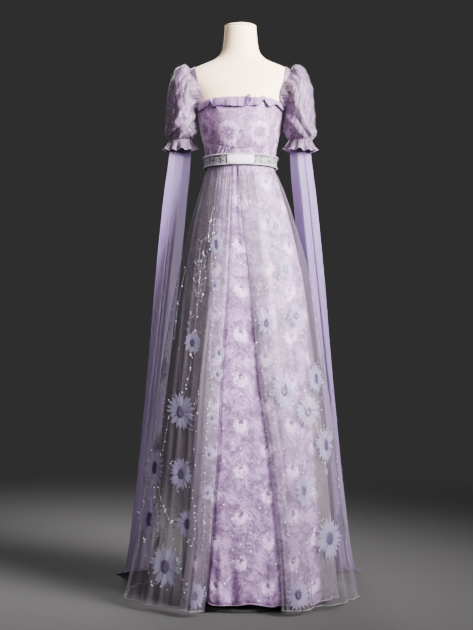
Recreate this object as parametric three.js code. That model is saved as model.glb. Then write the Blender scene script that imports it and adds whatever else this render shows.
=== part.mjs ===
// An evening dress on a limbless dress form, in millimetres, +Z up. The dress faces -Y and +X is the
// viewer's right, which the names of the pieces follow. The origin is the middle of the base's underside.
// Angles go round the body from the centre front (0 degrees) by +X (90) to the centre back (180).
import * as THREE from "three";

// Driving sizes
const formBottom = 870;
const neckTop = 1603;
const waistZ = 1211; // seam between the midriff and the skirts, at the sides
const waistLift = 4; // the same seam lies this much higher at the centre front
const underBust = { front: 1255, side: 1279 };
const necklineZ = 1385;
const underarmZ = 1360;
const skirtHemZ = 18;
const underskirtHemZ = 32;
const zipFoot = 1110;
const zipHalfWidth = 3;
const seamGap = 0.3;
const bust = { z: 1310, spread: 60, rise: 17, level: 40, fade: 46 };
const belt = { height: 31, drop: 3, plaqueHalfAngle: 20, cordRadius: 1.7, clear: 0.75 };
const cuff = { x: 168, z: 1290, radius: 32 };
const pole = { radius: 14, sides: 24 };
const base = { radius: 150, thickness: 16, hubRadius: 34, hubHeight: 34, edge: 5, sides: 48 };

// Each layer of cloth lies at this distance outside the form at the waist, and has this thickness.
const layers = {
  bodice: { gap: 1.35, wall: 1.5 },
  underskirt: { gap: 1.3, wall: 1.2 },
  overskirt: { gap: 3.5, wall: 1.2 },
  belt: { gap: 6.4, wall: 2.0 },
};

const radians = THREE.MathUtils.degToRad;
const lerp = THREE.MathUtils.lerp;
const smooth = (value, low, high) => THREE.MathUtils.smoothstep(value, low, high);

// Half-widths and depths of the form. A section with round 1 is an ellipse, and less than 1 is squarer.
const formSections = [
  { z: 870, halfWidth: 112, front: 80, back: 90, round: 1 },
  { z: 882, halfWidth: 128, front: 92, back: 102, round: 0.96 },
  { z: 950, halfWidth: 138, front: 98, back: 114, round: 0.95 },
  { z: 1030, halfWidth: 124, front: 92, back: 106, round: 0.95 },
  { z: 1110, halfWidth: 101, front: 84, back: 90, round: 0.95 },
  { z: 1160, halfWidth: 92, front: 83, back: 84, round: 0.95 },
  { z: 1216, halfWidth: 92, front: 87, back: 85, round: 0.95 },
  { z: 1262, halfWidth: 98, front: 91, back: 90, round: 0.94 },
  { z: 1310, halfWidth: 110, front: 94, back: 96, round: 0.92 },
  { z: 1360, halfWidth: 119, front: 92, back: 98, round: 0.9 },
  { z: 1400, halfWidth: 128, front: 84, back: 95, round: 0.9 },
  { z: 1435, halfWidth: 142, front: 72, back: 86, round: 0.9 },
  { z: 1462, halfWidth: 151, front: 60, back: 74, round: 0.92 },
  { z: 1478, halfWidth: 147, front: 54, back: 66, round: 0.95 },
  { z: 1492, halfWidth: 126, front: 51, back: 60, round: 1 },
  { z: 1503, halfWidth: 98, front: 49, back: 56, round: 1 },
  { z: 1514, halfWidth: 73, front: 48, back: 53, round: 1 },
  { z: 1523, halfWidth: 62, front: 48, back: 50, round: 1 },
  { z: 1534, halfWidth: 54, front: 47, back: 48, round: 1 },
  { z: 1560, halfWidth: 48, front: 45, back: 45, round: 1 },
  { z: 1603, halfWidth: 44, front: 43, back: 43, round: 1 },
];
const formRings = 3; // rings of the mesh for each two sections

// The skirts' inner faces. shift moves a section towards +X.
const overskirtSections = [
  { z: 18, halfWidth: 318, shift: 2, front: 200, back: 340, round: 1 },
  { z: 164, halfWidth: 290, shift: 7, front: 192, back: 318, round: 1 },
  { z: 313, halfWidth: 270, shift: 9, front: 182, back: 294, round: 1 },
  { z: 458, halfWidth: 252, shift: 11, front: 172, back: 270, round: 1 },
  { z: 607, halfWidth: 230, shift: 7, front: 162, back: 240, round: 1 },
  { z: 724, halfWidth: 214, shift: 8, front: 153, back: 214, round: 1 },
  { z: 904, halfWidth: 184, shift: 9, front: 137, back: 168, round: 1 },
  { z: 1072, halfWidth: 140, shift: 6, front: 115, back: 124, round: 0.98 },
  { z: 1144, halfWidth: 117, shift: 4, front: 104, back: 106, round: 0.96 },
  { z: 1190, halfWidth: 101, shift: 1, front: 94.5, back: 93, round: 0.95 },
  { z: 1211, halfWidth: 95.6, shift: 0, front: 90.6, back: 88.6, round: 0.95 },
];
const underskirtSections = [
  { z: 32, halfWidth: 213, shift: 53, front: 175, back: 236, round: 0.82 },
  { z: 164, halfWidth: 207, shift: 49, front: 169, back: 220, round: 0.83 },
  { z: 313, halfWidth: 202, shift: 42, front: 161, back: 204, round: 0.84 },
  { z: 458, halfWidth: 196, shift: 33, front: 153, back: 188, round: 0.85 },
  { z: 607, halfWidth: 190, shift: 21, front: 145, back: 172, round: 0.87 },
  { z: 724, halfWidth: 183, shift: 14, front: 137, back: 158, round: 0.89 },
  { z: 904, halfWidth: 163, shift: 9, front: 125, back: 136, round: 0.92 },
  { z: 1072, halfWidth: 129, shift: 5, front: 106, back: 111, round: 0.95 },
  { z: 1144, halfWidth: 109, shift: 3, front: 97, back: 98, round: 0.95 },
  { z: 1190, halfWidth: 97.5, shift: 1, front: 91, back: 90, round: 0.95 },
  { z: 1211, halfWidth: 93.4, shift: 0, front: 88.4, back: 86.4, round: 0.95 },
];

// Lines that run down a skirt from the waist to the hem, at an angle at each end. rise is how far the
// line stands out at the hem, as the crest of a fold, or in, as a hollow.
const overskirtFrontLeftLines = [
  { waist: -90, hem: -90, rise: 0 },
  { waist: -80, hem: -77, rise: 9 },
  { waist: -70, hem: -64, rise: -5 },
  { waist: -62, hem: -52, rise: 9 },
  { waist: -56, hem: -41, rise: -6 },
  { waist: -52, hem: -32.5, rise: -12 },
  { waist: -49, hem: -28.5, rise: 8 },
  { waist: -36, hem: -25, rise: 20 },
  { waist: -23, hem: -21, rise: 19 },
  { waist: -13.5, hem: -17.8, rise: 7 },
];
const overskirtFrontRightLines = [
  { waist: -2, hem: 18.8, rise: 3 },
  { waist: 5, hem: 23, rise: 13 },
  { waist: 13, hem: 28, rise: 22 },
  { waist: 20, hem: 33, rise: 16 },
  { waist: 27, hem: 37, rise: 0 },
  { waist: 40, hem: 47, rise: -1 },
  { waist: 54, hem: 58, rise: 8 },
  { waist: 66, hem: 68, rise: -4 },
  { waist: 78, hem: 79, rise: 8 },
  { waist: 90, hem: 90, rise: 0 },
];
const overskirtBackLines = [
  { waist: 90, hem: 90, rise: 0 },
  { waist: 104, hem: 103, rise: 10 },
  { waist: 119, hem: 118, rise: -6 },
  { waist: 134, hem: 133, rise: 12 },
  { waist: 150, hem: 148, rise: -6 },
  { waist: 165, hem: 164, rise: 12 },
  { waist: 180, hem: 180, rise: 0 },
];
const underskirtFrontLines = [
  { waist: -90, hem: -90, rise: 0 },
  { waist: -68, hem: -68, rise: 5 },
  { waist: -46, hem: -46, rise: -3 },
  { waist: -24, hem: -24, rise: 4 },
  { waist: -3, hem: -2, rise: -4 },
  { waist: 18, hem: 17, rise: 4 },
  { waist: 42, hem: 38, rise: -4 },
  { waist: 66, hem: 64, rise: 5 },
  { waist: 90, hem: 90, rise: 0 },
];
const underskirtBackLines = [
  { waist: 90, hem: 90, rise: 0 },
  { waist: 112, hem: 112, rise: 6 },
  { waist: 134, hem: 134, rise: -4 },
  { waist: 157, hem: 156, rise: 6 },
  { waist: 180, hem: 180, rise: 0 },
];

// Sections of the right sleeve from the head to the cuff, by the middle of its outer side and of its inner
// side. depth is half its size along Y, and ripple is the height of the gathers.
const sleeveSections = [
  { outerX: 158, outerZ: 1499, innerX: 127, innerZ: 1351, depth: 61, ripple: 3 },
  { outerX: 184, outerZ: 1482, innerX: 128, innerZ: 1340, depth: 70, ripple: 2.5 },
  { outerX: 198, outerZ: 1437, innerX: 128, innerZ: 1328, depth: 75, ripple: 2 },
  { outerX: 204, outerZ: 1386, innerX: 128, innerZ: 1318, depth: 76, ripple: 2 },
  { outerX: 210, outerZ: 1330, innerX: 129, innerZ: 1308, depth: 70, ripple: 3 },
  { outerX: 207, outerZ: 1307, innerX: 132, innerZ: 1299, depth: 54, ripple: 3 },
  { outerX: 201, outerZ: 1292.5, innerX: 135.5, innerZ: 1292.5, depth: 33, ripple: 0.8 },
];
const sleeveWall = 1.2;
const sleeveColumns = 20;
const sleeveGathers = 5;
const armhole = { z: 1424, halfHeight: 61, halfAngle: 28, clear: 3.6 };

const frill = { rise: 2.2, drop: 34, flare: 6, wave: 4.5, waves: 7, wall: 1.2, columnsPerWave: 4, bands: 2 };
const ruffle = { low: 1367, high: 1396, halfAngle: 62, folds: 12, depth: 6, clear: 3.5, wall: 1.2 };
const strap = { baseInner: 107, baseOuter: 118, peakInner: 1492, peakOuter: 1482, bands: 14, columns: 2 };

// The right streamer's two side edges from the cuff to the floor, and how deep its folds are.
const streamerSections = [
  { z: 1287, outerX: 197, outerY: 0, innerX: 139, innerY: 0, folds: 0 },
  { z: 1253, outerX: 196, outerY: 0, innerX: 140, innerY: 0, folds: 8 },
  { z: 1130, outerX: 222, outerY: 14, innerX: 157, innerY: 34, folds: 12 },
  { z: 968, outerX: 236, outerY: 46, innerX: 171, innerY: 84, folds: 13 },
  { z: 786, outerX: 253, outerY: 90, innerX: 187, innerY: 142, folds: 14 },
  { z: 640, outerX: 268, outerY: 130, innerX: 199, innerY: 190, folds: 15 },
  { z: 500, outerX: 284, outerY: 170, innerX: 211, innerY: 236, folds: 16 },
  { z: 371, outerX: 299, outerY: 210, innerX: 221, innerY: 278, folds: 16 },
  { z: 223, outerX: 319, outerY: 260, innerX: 232, innerY: 326, folds: 17 },
  { z: 90, outerX: 338, outerY: 306, innerX: 243, innerY: 370, folds: 17 },
  { z: 22, outerX: 354, outerY: 336, innerX: 252, innerY: 394, folds: 14 },
  { z: 2, outerX: 384, outerY: 372, innerX: 264, innerY: 424, folds: 5 },
];
const streamer = { wall: 1.2, columns: 12, foldCount: 2, clear: 0.3 };

const zip = { wall: 1.6, top: 1383, bands: 12, edgeGap: 0.4 };
const slider = { z: 1374, halfHeight: 4.5, plate: 2, width: 4.5, eye: 1.2, ring: 2.3, axisOut: 3.6 };
const pull = { thickness: 1.2, arm: 1, window: 3.2, sideGap: 0.4, length: 24, tipRadius: 3.2 };

const satin = { roughness: 0.35, metalness: 0.1 };
const materials = {
  form: { color: 0xf0e6dc, roughness: 0.6, metalness: 0 },
  metal: { color: 0x9a9a9c, roughness: 0.35, metalness: 0.9 },
  brocade: { color: 0xb9a8c4, roughness: 0.6, metalness: 0 },
  chiffon: { color: 0xa591be, roughness: 0.7, metalness: 0 },
  lace: { color: 0xb8a2c4, roughness: 0.75, metalness: 0 },
  organza: { color: 0xb4b0c0, roughness: 0.5, metalness: 0 },
  silver: { color: 0xc9c4cc, ...satin },
  plaque: { color: 0xebe6f0, ...satin },
};

const dress = new THREE.Group();

function addMesh(name, geometry, finish) {
  const mesh = new THREE.Mesh(geometry, new THREE.MeshStandardMaterial(materials[finish]));
  mesh.name = name;
  dress.add(mesh);
  return mesh;
}

// Smooth values between the rows of a table, as a function of z.
function sampler(rows) {
  const sorted = [...rows].sort((a, b) => a.z - b.z);
  const columns = Object.keys(sorted[0]).filter((key) => key !== "z");
  const values = sorted.flatMap((row) => columns.map((key) => row[key]));
  const heights = sorted.map((row) => row.z);
  const curve = new THREE.CubicInterpolant(heights, values, columns.length);
  return (z) => {
    const result = curve.evaluate(THREE.MathUtils.clamp(z, heights[0], heights.at(-1)));
    return Object.fromEntries(columns.map((key, i) => [key, result[i]]));
  };
}

const formAt = sampler(formSections);
const overskirtAt = sampler(overskirtSections);
const underskirtAt = sampler(underskirtSections);

// A point of a section at an angle in degrees, moved out by extra.
function sectionPoint(section, angle, z, extra = 0) {
  const { halfWidth, shift = 0, front, back, round } = section;
  const side = Math.sin(radians(angle));
  const ahead = Math.cos(radians(angle));
  const depth = ahead > 0 ? front : back;
  const moved = ahead > 0 ? shift : shift * Math.abs(side); // the middle of the back stays in line
  return new THREE.Vector3(
    moved + (halfWidth + extra) * Math.sign(side) * Math.abs(side) ** round,
    -(depth + extra) * Math.sign(ahead) * Math.abs(ahead) ** round,
    z,
  );
}

// The form's surface, with a gentle bust that stays level between the cups.
function formSurface(angle, z) {
  const point = sectionPoint(formAt(z), angle, z);
  const beside = Math.max(0, Math.abs(point.x) - bust.level) / bust.fade;
  const above = (z - bust.z) / bust.spread;
  const facing = Math.max(0, Math.cos(radians(angle)));
  point.y -= bust.rise * Math.exp(-above * above - beside * beside) * Math.min(1, 3 * facing);
  return point;
}

// A point that lies a distance outside the form, along the surface's normal.
function formPoint(angle, z, distance) {
  const step = 0.5;
  const round = formSurface(angle + step, z).sub(formSurface(angle - step, z));
  const up = formSurface(angle, z + step).sub(formSurface(angle, z - step));
  return formSurface(angle, z).addScaledVector(round.cross(up).normalize(), distance);
}

// Triangles of the quads between two rows of vertex numbers.
function strip(low, high) {
  const faces = [];
  for (let i = 0; i + 1 < low.length; i += 1) {
    faces.push(low[i], low[i + 1], high[i + 1]);
    faces.push(low[i], high[i + 1], high[i]);
  }
  return faces;
}

// A body from its vertices and faces, turned to face out.
function bodyGeometry(points, faces) {
  const corner = (i) => points[faces[i]];
  let volume = 0;
  for (let i = 0; i < faces.length; i += 3) {
    volume += corner(i).dot(new THREE.Vector3().crossVectors(corner(i + 1), corner(i + 2)));
  }
  const outward = volume < 0 ? [...faces].reverse() : faces;
  const geometry = new THREE.BufferGeometry().setFromPoints(points);
  geometry.setIndex(outward);
  geometry.computeVertexNormals();
  return geometry;
}

// A wall between two grids of points with the same rows and columns. A closed wall runs all the way round.
// Both sides have the same diagonals, so that the wall keeps its thickness where the cloth is twisted.
function wallBetween(outer, inner, closed = false) {
  const rows = outer.length;
  const columns = outer[0].length;
  const points = [...outer.flat(), ...inner.flat()];
  const line = (grid, row) => {
    const numbers = outer[0].map((_, column) => (grid * rows + row) * columns + column);
    return closed ? [...numbers, numbers[0]] : numbers;
  };
  const faces = [];
  for (let row = 0; row + 1 < rows; row += 1) {
    faces.push(...strip(line(0, row), line(0, row + 1)));
    faces.push(...strip(line(1, row), line(1, row + 1)).reverse());
  }
  faces.push(...strip(line(1, 0), line(0, 0)));
  faces.push(...strip(line(0, rows - 1), line(1, rows - 1)));
  if (!closed) {
    const side = (grid, column) => outer.map((_, row) => (grid * rows + row) * columns + column);
    faces.push(...strip(side(0, 0), side(1, 0)));
    faces.push(...strip(side(1, columns - 1), side(0, columns - 1)));
  }
  return bodyGeometry(points, faces);
}

// The grid moved along its normals. Columns run anticlockwise seen from above, and rows run up.
function offsetGrid(grid, distance, closed = false) {
  const columns = grid[0].length;
  return grid.map((points, row) =>
    points.map((point, column) => {
      const above = grid[Math.min(row + 1, grid.length - 1)][column];
      const below = grid[Math.max(row - 1, 0)][column];
      const wrap = (i) => (closed ? (i + columns) % columns : THREE.MathUtils.clamp(i, 0, columns - 1));
      const round = points[wrap(column + 1)].clone().sub(points[wrap(column - 1)]);
      const normal = round.cross(above.clone().sub(below)).normalize();
      return point.clone().addScaledVector(normal, distance);
    }),
  );
}

function gridOf(rows, columns, pointAt) {
  return Array.from({ length: rows }, (_, row) =>
    Array.from({ length: columns }, (_, column) => pointAt(row, column)),
  );
}

function mirrored(geometry) {
  const points = geometry.attributes.position;
  const copies = Array.from({ length: points.count }, (_, i) =>
    new THREE.Vector3().fromBufferAttribute(points, i).multiply(new THREE.Vector3(-1, 1, 1)),
  );
  return bodyGeometry(copies, [...geometry.index.array]);
}

function addPair(name, geometry, finish) {
  addMesh(name + "_right", geometry, finish);
  addMesh(name + "_left", mirrored(geometry), finish);
}

const seamAngle = (halfWidth, gap) => THREE.MathUtils.radToDeg(gap / halfWidth);
const waistLine = (angle) => waistZ + waistLift * Math.cos(radians(angle));
const beltBottom = (angle) => waistLine(angle) - belt.drop;
const halfOpening = zipHalfWidth + zip.edgeGap; // from the middle of the back to each edge beside the zip

function underBustLine(angle) {
  const facing = Math.max(0, Math.cos(radians(angle)));
  return lerp(underBust.side, underBust.front, facing ** 2);
}

// The bodice's top edge: level at the neckline, then down round the arm.
function bodiceTop(angle) {
  const aside = Math.abs(90 - Math.abs(angle));
  return lerp(underarmZ, necklineZ, smooth(aside, 0, 17));
}

// A wall of cloth on the form, between two angles and two edge lines.
function formWall({ from, to, low, high, columns, bands, layer }) {
  const at = (distance) =>
    gridOf(bands + 1, columns + 1, (row, column) => {
      const angle = lerp(from, to, column / columns);
      return formPoint(angle, lerp(low(angle), high(angle), row / bands), distance);
    });
  return wallBetween(at(layer.gap + layer.wall), at(layer.gap));
}

function addForm() {
  const heights = [];
  formSections.slice(0, -1).forEach((section, i) => {
    const next = formSections[i + 1].z;
    const steps = Math.max(1, Math.min(formRings, Math.round((next - section.z) / 14)));
    for (let k = 0; k < steps; k += 1) heights.push(lerp(section.z, next, k / steps));
  });
  heights.push(neckTop);
  const columns = 40;
  const grid = gridOf(heights.length, columns, (row, column) =>
    formSurface((column * 360) / columns, heights[row]),
  );
  const points = [...grid.flat(), new THREE.Vector3(0, 0, formBottom), new THREE.Vector3(0, 0, neckTop)];
  const ring = (row) => [...Array(columns + 1).keys()].map((i) => row * columns + (i % columns));
  const faces = [];
  for (let row = 0; row + 1 < heights.length; row += 1) faces.push(...strip(ring(row), ring(row + 1)));
  const bottom = ring(0);
  const top = ring(heights.length - 1);
  for (let i = 0; i < columns; i += 1) {
    faces.push(bottom[i + 1], bottom[i], points.length - 2);
    faces.push(top[i], top[i + 1], points.length - 1);
  }
  addMesh("form_torso", bodyGeometry(points, faces), "form");
}

// A body turned about the Z axis from a profile of [radius, height] pairs.
function turned(profile, sides) {
  const outline = profile.map(([radius, height]) => new THREE.Vector2(radius, height));
  return new THREE.LatheGeometry(outline, sides).rotateX(Math.PI / 2);
}

function addStand() {
  const capLow = neckTop + seamGap;
  const cap = [
    [0, capLow],
    [43, capLow],
    [44.5, capLow + 3],
    [42, capLow + 6],
    [30, capLow + 8.5],
    [0, capLow + 10],
  ];
  addMesh("form_neck_cap", turned(cap, 40), "form");
  const poleLow = base.hubHeight + seamGap;
  const poleHeight = formBottom - seamGap - poleLow;
  const poleTube = new THREE.CylinderGeometry(pole.radius, pole.radius, poleHeight, pole.sides);
  addMesh("form_pole", poleTube.rotateX(Math.PI / 2), "metal").position.z = poleLow + poleHeight / 2;
  const foot = [
    [0, 0],
    [base.radius - base.edge, 0],
    [base.radius, base.edge],
    [base.radius - base.edge, base.thickness - base.edge],
    [base.hubRadius, base.thickness],
    [base.hubRadius - 8, base.hubHeight],
    [0, base.hubHeight],
  ];
  addMesh("form_base", turned(foot, base.sides), "metal");
}

function addBodice() {
  const layer = layers.bodice;
  const halfSeam = seamAngle(115, seamGap / 2);
  const backEnd = 180 - seamAngle(97, halfOpening);
  const low = (angle) => underBustLine(angle) + seamGap / 2;
  const front = { from: -90 + halfSeam, to: 90 - halfSeam, low, high: bodiceTop };
  addMesh("bodice_front", formWall({ ...front, columns: 18, bands: 6, layer }), "brocade");
  const back = { from: 90 + halfSeam, to: backEnd, low, high: bodiceTop };
  addPair("bodice_back", formWall({ ...back, columns: 9, bands: 5, layer }), "brocade");
  const stripLow = (angle) => waistLine(angle) + seamGap;
  const stripHigh = (angle) => underBustLine(angle) - seamGap / 2;
  const strips = { low: stripLow, high: stripHigh, bands: 2, layer };
  addMesh("midriff_front", formWall({ ...front, ...strips, columns: 18 }), "brocade");
  addPair("midriff_back", formWall({ ...back, ...strips, columns: 9 }), "brocade");
}

// A strap rises from the front neckline's corner over the shoulder to the back neckline's corner.
function addStraps() {
  const layer = layers.bodice;
  const low = necklineZ + seamGap;
  const at = (distance) =>
    gridOf(strap.columns + 1, strap.bands + 1, (row, column) => {
      const across = row / strap.columns;
      const along = column / strap.bands;
      const peak = lerp(strap.peakInner, strap.peakOuter, across);
      const lift = Math.sin(Math.PI * along);
      const z = lerp(low, peak, lift);
      const x = lerp(lerp(strap.baseInner, strap.baseOuter, across), formAt(peak).halfWidth, lift);
      const { halfWidth, round } = formAt(z);
      const angle = THREE.MathUtils.radToDeg(Math.asin(Math.min(1, (x / halfWidth) ** (1 / round))));
      return formPoint(along < 0.5 ? angle : 180 - angle, z, distance);
    });
  addPair("strap", wallBetween(at(layer.gap + layer.wall), at(layer.gap)), "brocade");
}

function addRuffle() {
  const columns = ruffle.folds * 3;
  const grid = (extra) =>
    gridOf(3, columns + 1, (row, column) => {
      const angle = lerp(-ruffle.halfAngle, ruffle.halfAngle, column / columns);
      const turn = (2 * Math.PI * ruffle.folds * column) / columns;
      const fold = (0.5 - 0.5 * Math.cos(turn)) * ruffle.depth * (row === 1 ? 0.45 : 1);
      const edge = row === 1 ? 0 : 2 * Math.sin(turn * 0.5 + row);
      const z = lerp(ruffle.low, ruffle.high, row / 2) + edge;
      return formPoint(angle, z, ruffle.clear + fold + extra);
    });
  addMesh("neckline_ruffle", wallBetween(grid(ruffle.wall), grid(0)), "chiffon");
}

function addBelt() {
  const layer = layers.belt;
  const end = 180 - seamAngle(96, halfOpening);
  const top = (angle) => beltBottom(angle) + belt.height;
  const band = { from: -end, to: end, low: beltBottom, high: top, columns: 40, bands: 1, layer };
  addMesh("belt_band", formWall(band), "silver");
  const onBand = layer.gap + layer.wall + belt.clear;
  const inset = 2 * belt.cordRadius + 0.6;
  const plaque = {
    from: -belt.plaqueHalfAngle,
    to: belt.plaqueHalfAngle,
    low: (angle) => beltBottom(angle) + inset,
    high: (angle) => top(angle) - inset,
    columns: 8,
    bands: 1,
    layer: { gap: onBand, wall: 1.4 },
  };
  addMesh("belt_plaque", formWall(plaque), "plaque");
  const cord = (edge, side) => {
    const columns = 32;
    const sides = 4;
    const rings = gridOf(columns + 1, sides, (row, column) => {
      const angle = lerp(-end, end, row / columns);
      const turn = (2 * Math.PI * column) / sides;
      const out = onBand + belt.cordRadius * (1 + Math.cos(turn));
      return formPoint(angle, edge(angle) + side * belt.cordRadius + belt.cordRadius * Math.sin(turn), out);
    });
    return rodGeometry(rings);
  };
  addMesh("belt_cord_top", cord(top, -1), "silver");
  addMesh("belt_cord_bottom", cord(beltBottom, 1), "silver");
}

// A solid rod through rings of points, closed by a fan at each end.
function rodGeometry(rings) {
  const sides = rings[0].length;
  const middle = (ring) => ring.reduce((sum, p) => sum.add(p), new THREE.Vector3()).divideScalar(sides);
  const points = [...rings.flat(), middle(rings[0]), middle(rings.at(-1))];
  const loop = (row) => [...Array(sides + 1).keys()].map((i) => row * sides + (i % sides));
  const faces = [];
  for (let row = 0; row + 1 < rings.length; row += 1) faces.push(...strip(loop(row), loop(row + 1)));
  const first = loop(0);
  const last = loop(rings.length - 1);
  for (let i = 0; i < sides; i += 1) {
    faces.push(first[i + 1], first[i], points.length - 2);
    faces.push(last[i], last[i + 1], points.length - 1);
  }
  return bodyGeometry(points, faces);
}

// The armhole's edge lies on the strap and the bodice, a little outside both.
function armholePoint(turn) {
  const angle = 90 - armhole.halfAngle * Math.cos(turn);
  return formPoint(angle, armhole.z + armhole.halfHeight * Math.sin(turn), armhole.clear);
}

function sleevePoint(section, turn) {
  const outer = new THREE.Vector3(section.outerX, 0, section.outerZ);
  const inner = new THREE.Vector3(section.innerX, 0, section.innerZ);
  const middle = outer.clone().lerp(inner, 0.5);
  const reach = outer.sub(middle);
  const gather = section.ripple * Math.cos(sleeveGathers * turn);
  const swell = 1 + gather / reach.length();
  return middle
    .addScaledVector(reach, Math.sin(turn) * swell)
    .add(new THREE.Vector3(0, -section.depth * Math.cos(turn) * swell, 0));
}

function addSleeves() {
  const turnOf = (column) => (2 * Math.PI * column) / sleeveColumns;
  const sections = [...sleeveSections].reverse();
  const rows = sections.length + 1;
  const outer = gridOf(rows, sleeveColumns, (row, column) =>
    row === rows - 1 ? armholePoint(turnOf(column)) : sleevePoint(sections[row], turnOf(column)),
  );
  const inner = offsetGrid(outer, -sleeveWall, true);
  addPair("sleeve", wallBetween(outer, inner, true), "brocade");
}

function addFrills() {
  const columns = frill.waves * frill.columnsPerWave;
  const inner = gridOf(frill.bands + 1, columns, (row, column) => {
    const down = 1 - row / frill.bands;
    const turn = (2 * Math.PI * column) / columns;
    const wave = frill.wave * Math.cos(frill.waves * turn) * down;
    const radius = cuff.radius - frill.wall + frill.flare * down + wave;
    const z = cuff.z + frill.rise - frill.drop * down + wave * 0.6 * down;
    return new THREE.Vector3(cuff.x + radius * Math.cos(turn), radius * Math.sin(turn), z);
  });
  const outer = offsetGrid(inner, frill.wall, true);
  addPair("cuff_frill", wallBetween(outer, inner, true), "chiffon");
}

function addStreamers() {
  const sections = [...streamerSections].reverse();
  const inCuff = cuff.radius - frill.wall - streamer.clear - streamer.wall;
  const back = gridOf(sections.length, streamer.columns + 1, (row, column) => {
    const across = column / streamer.columns;
    const { z, outerX, outerY, innerX, innerY, folds } = sections[row];
    if (row === sections.length - 1) {
      const turn = Math.PI * (1 + across);
      return new THREE.Vector3(cuff.x + inCuff * Math.cos(turn), inCuff * Math.sin(turn), z);
    }
    const fold = folds * Math.sin(2 * Math.PI * streamer.foldCount * across);
    return new THREE.Vector3(lerp(innerX, outerX, across), lerp(innerY, outerY, across) - fold, z);
  });
  addPair("streamer", wallBetween(offsetGrid(back, streamer.wall), back), "chiffon");
}

// A skirt panel between its first and last lines. Between two lines the cloth curves smoothly.
function skirtWall({ at, lines, hemZ, layer, heights, back = false }) {
  const columns = 2 * (lines.length - 1);
  const rows = heights.length;
  const grid = (extra) =>
    gridOf(rows, columns + 1, (row, column) => {
      const index = Math.min(Math.floor(column / 2), lines.length - 2);
      const between = column / 2 - index;
      const [a, b] = [lines[index], lines[index + 1]];
      const down = 1 - (heights[row] - hemZ) / (waistZ - hemZ);
      const settled = smooth(down, 0, 1);
      let angle = lerp(lerp(a.waist, a.hem, settled), lerp(b.waist, b.hem, settled), between);
      const rise = lerp(a.rise, b.rise, between) * down ** 1.1;
      const section = at(heights[row]);
      const first = column === 0;
      const last = column === columns;
      const seam = seamAngle(section.halfWidth, seamGap / 2);
      if (first && Math.abs(a.waist) === 90) angle += seam;
      if (last && b.waist === 90) angle -= seam;
      if (last && back) {
        const gap = heights[row] > zipFoot ? halfOpening : seamGap / 2;
        angle = 180 - seamAngle(section.halfWidth, gap);
      }
      if (heights[row] === waistZ) return formPoint(angle, waistLine(angle), layer.gap + extra);
      return sectionPoint(section, angle, heights[row], rise + extra);
    });
  return wallBetween(grid(layer.wall), grid(0));
}

function addSkirts() {
  const overHeights = [160, 380, 620, 850, 1030, 1130, 1188, waistZ];
  const underHeights = [220, 520, 850, 1030, 1130, 1188, waistZ];
  const opening = [zipFoot - 6, zipFoot + 1];
  const over = { at: overskirtAt, hemZ: skirtHemZ, layer: layers.overskirt };
  const under = { at: underskirtAt, hemZ: underskirtHemZ, layer: layers.underskirt };
  const withOpening = (heights) => [...heights, ...opening].sort((a, b) => a - b);
  const overFront = { ...over, heights: [skirtHemZ, ...overHeights] };
  addMesh("overskirt_front_left", skirtWall({ ...overFront, lines: overskirtFrontLeftLines }), "organza");
  addMesh("overskirt_front_right", skirtWall({ ...overFront, lines: overskirtFrontRightLines }), "organza");
  const underFront = { ...under, heights: [underskirtHemZ, ...underHeights] };
  addMesh("underskirt_front", skirtWall({ ...underFront, lines: underskirtFrontLines }), "lace");
  const overBack = { ...over, heights: withOpening(overFront.heights), lines: overskirtBackLines };
  const underBack = { ...under, heights: withOpening(underFront.heights), lines: underskirtBackLines };
  addBackPair("overskirt_back", { ...overBack, back: true }, "organza");
  addBackPair("underskirt_back", { ...underBack, back: true }, "lace");
}

// The two back panels share their lines, but the section's sideways shift isn't mirrored.
function addBackPair(name, panel, finish) {
  addMesh(name + "_right", skirtWall(panel), finish);
  const at = (z) => {
    const section = panel.at(z);
    return { ...section, shift: -section.shift };
  };
  addMesh(name + "_left", mirrored(skirtWall({ ...panel, at })), finish);
}

// The middle of the back of the layer that the zip is sewn into.
function zipLine(z, distance) {
  if (z >= waistLine(180)) return formPoint(180, z, layers.bodice.gap + distance).y;
  return underskirtAt(z).back + distance;
}

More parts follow.
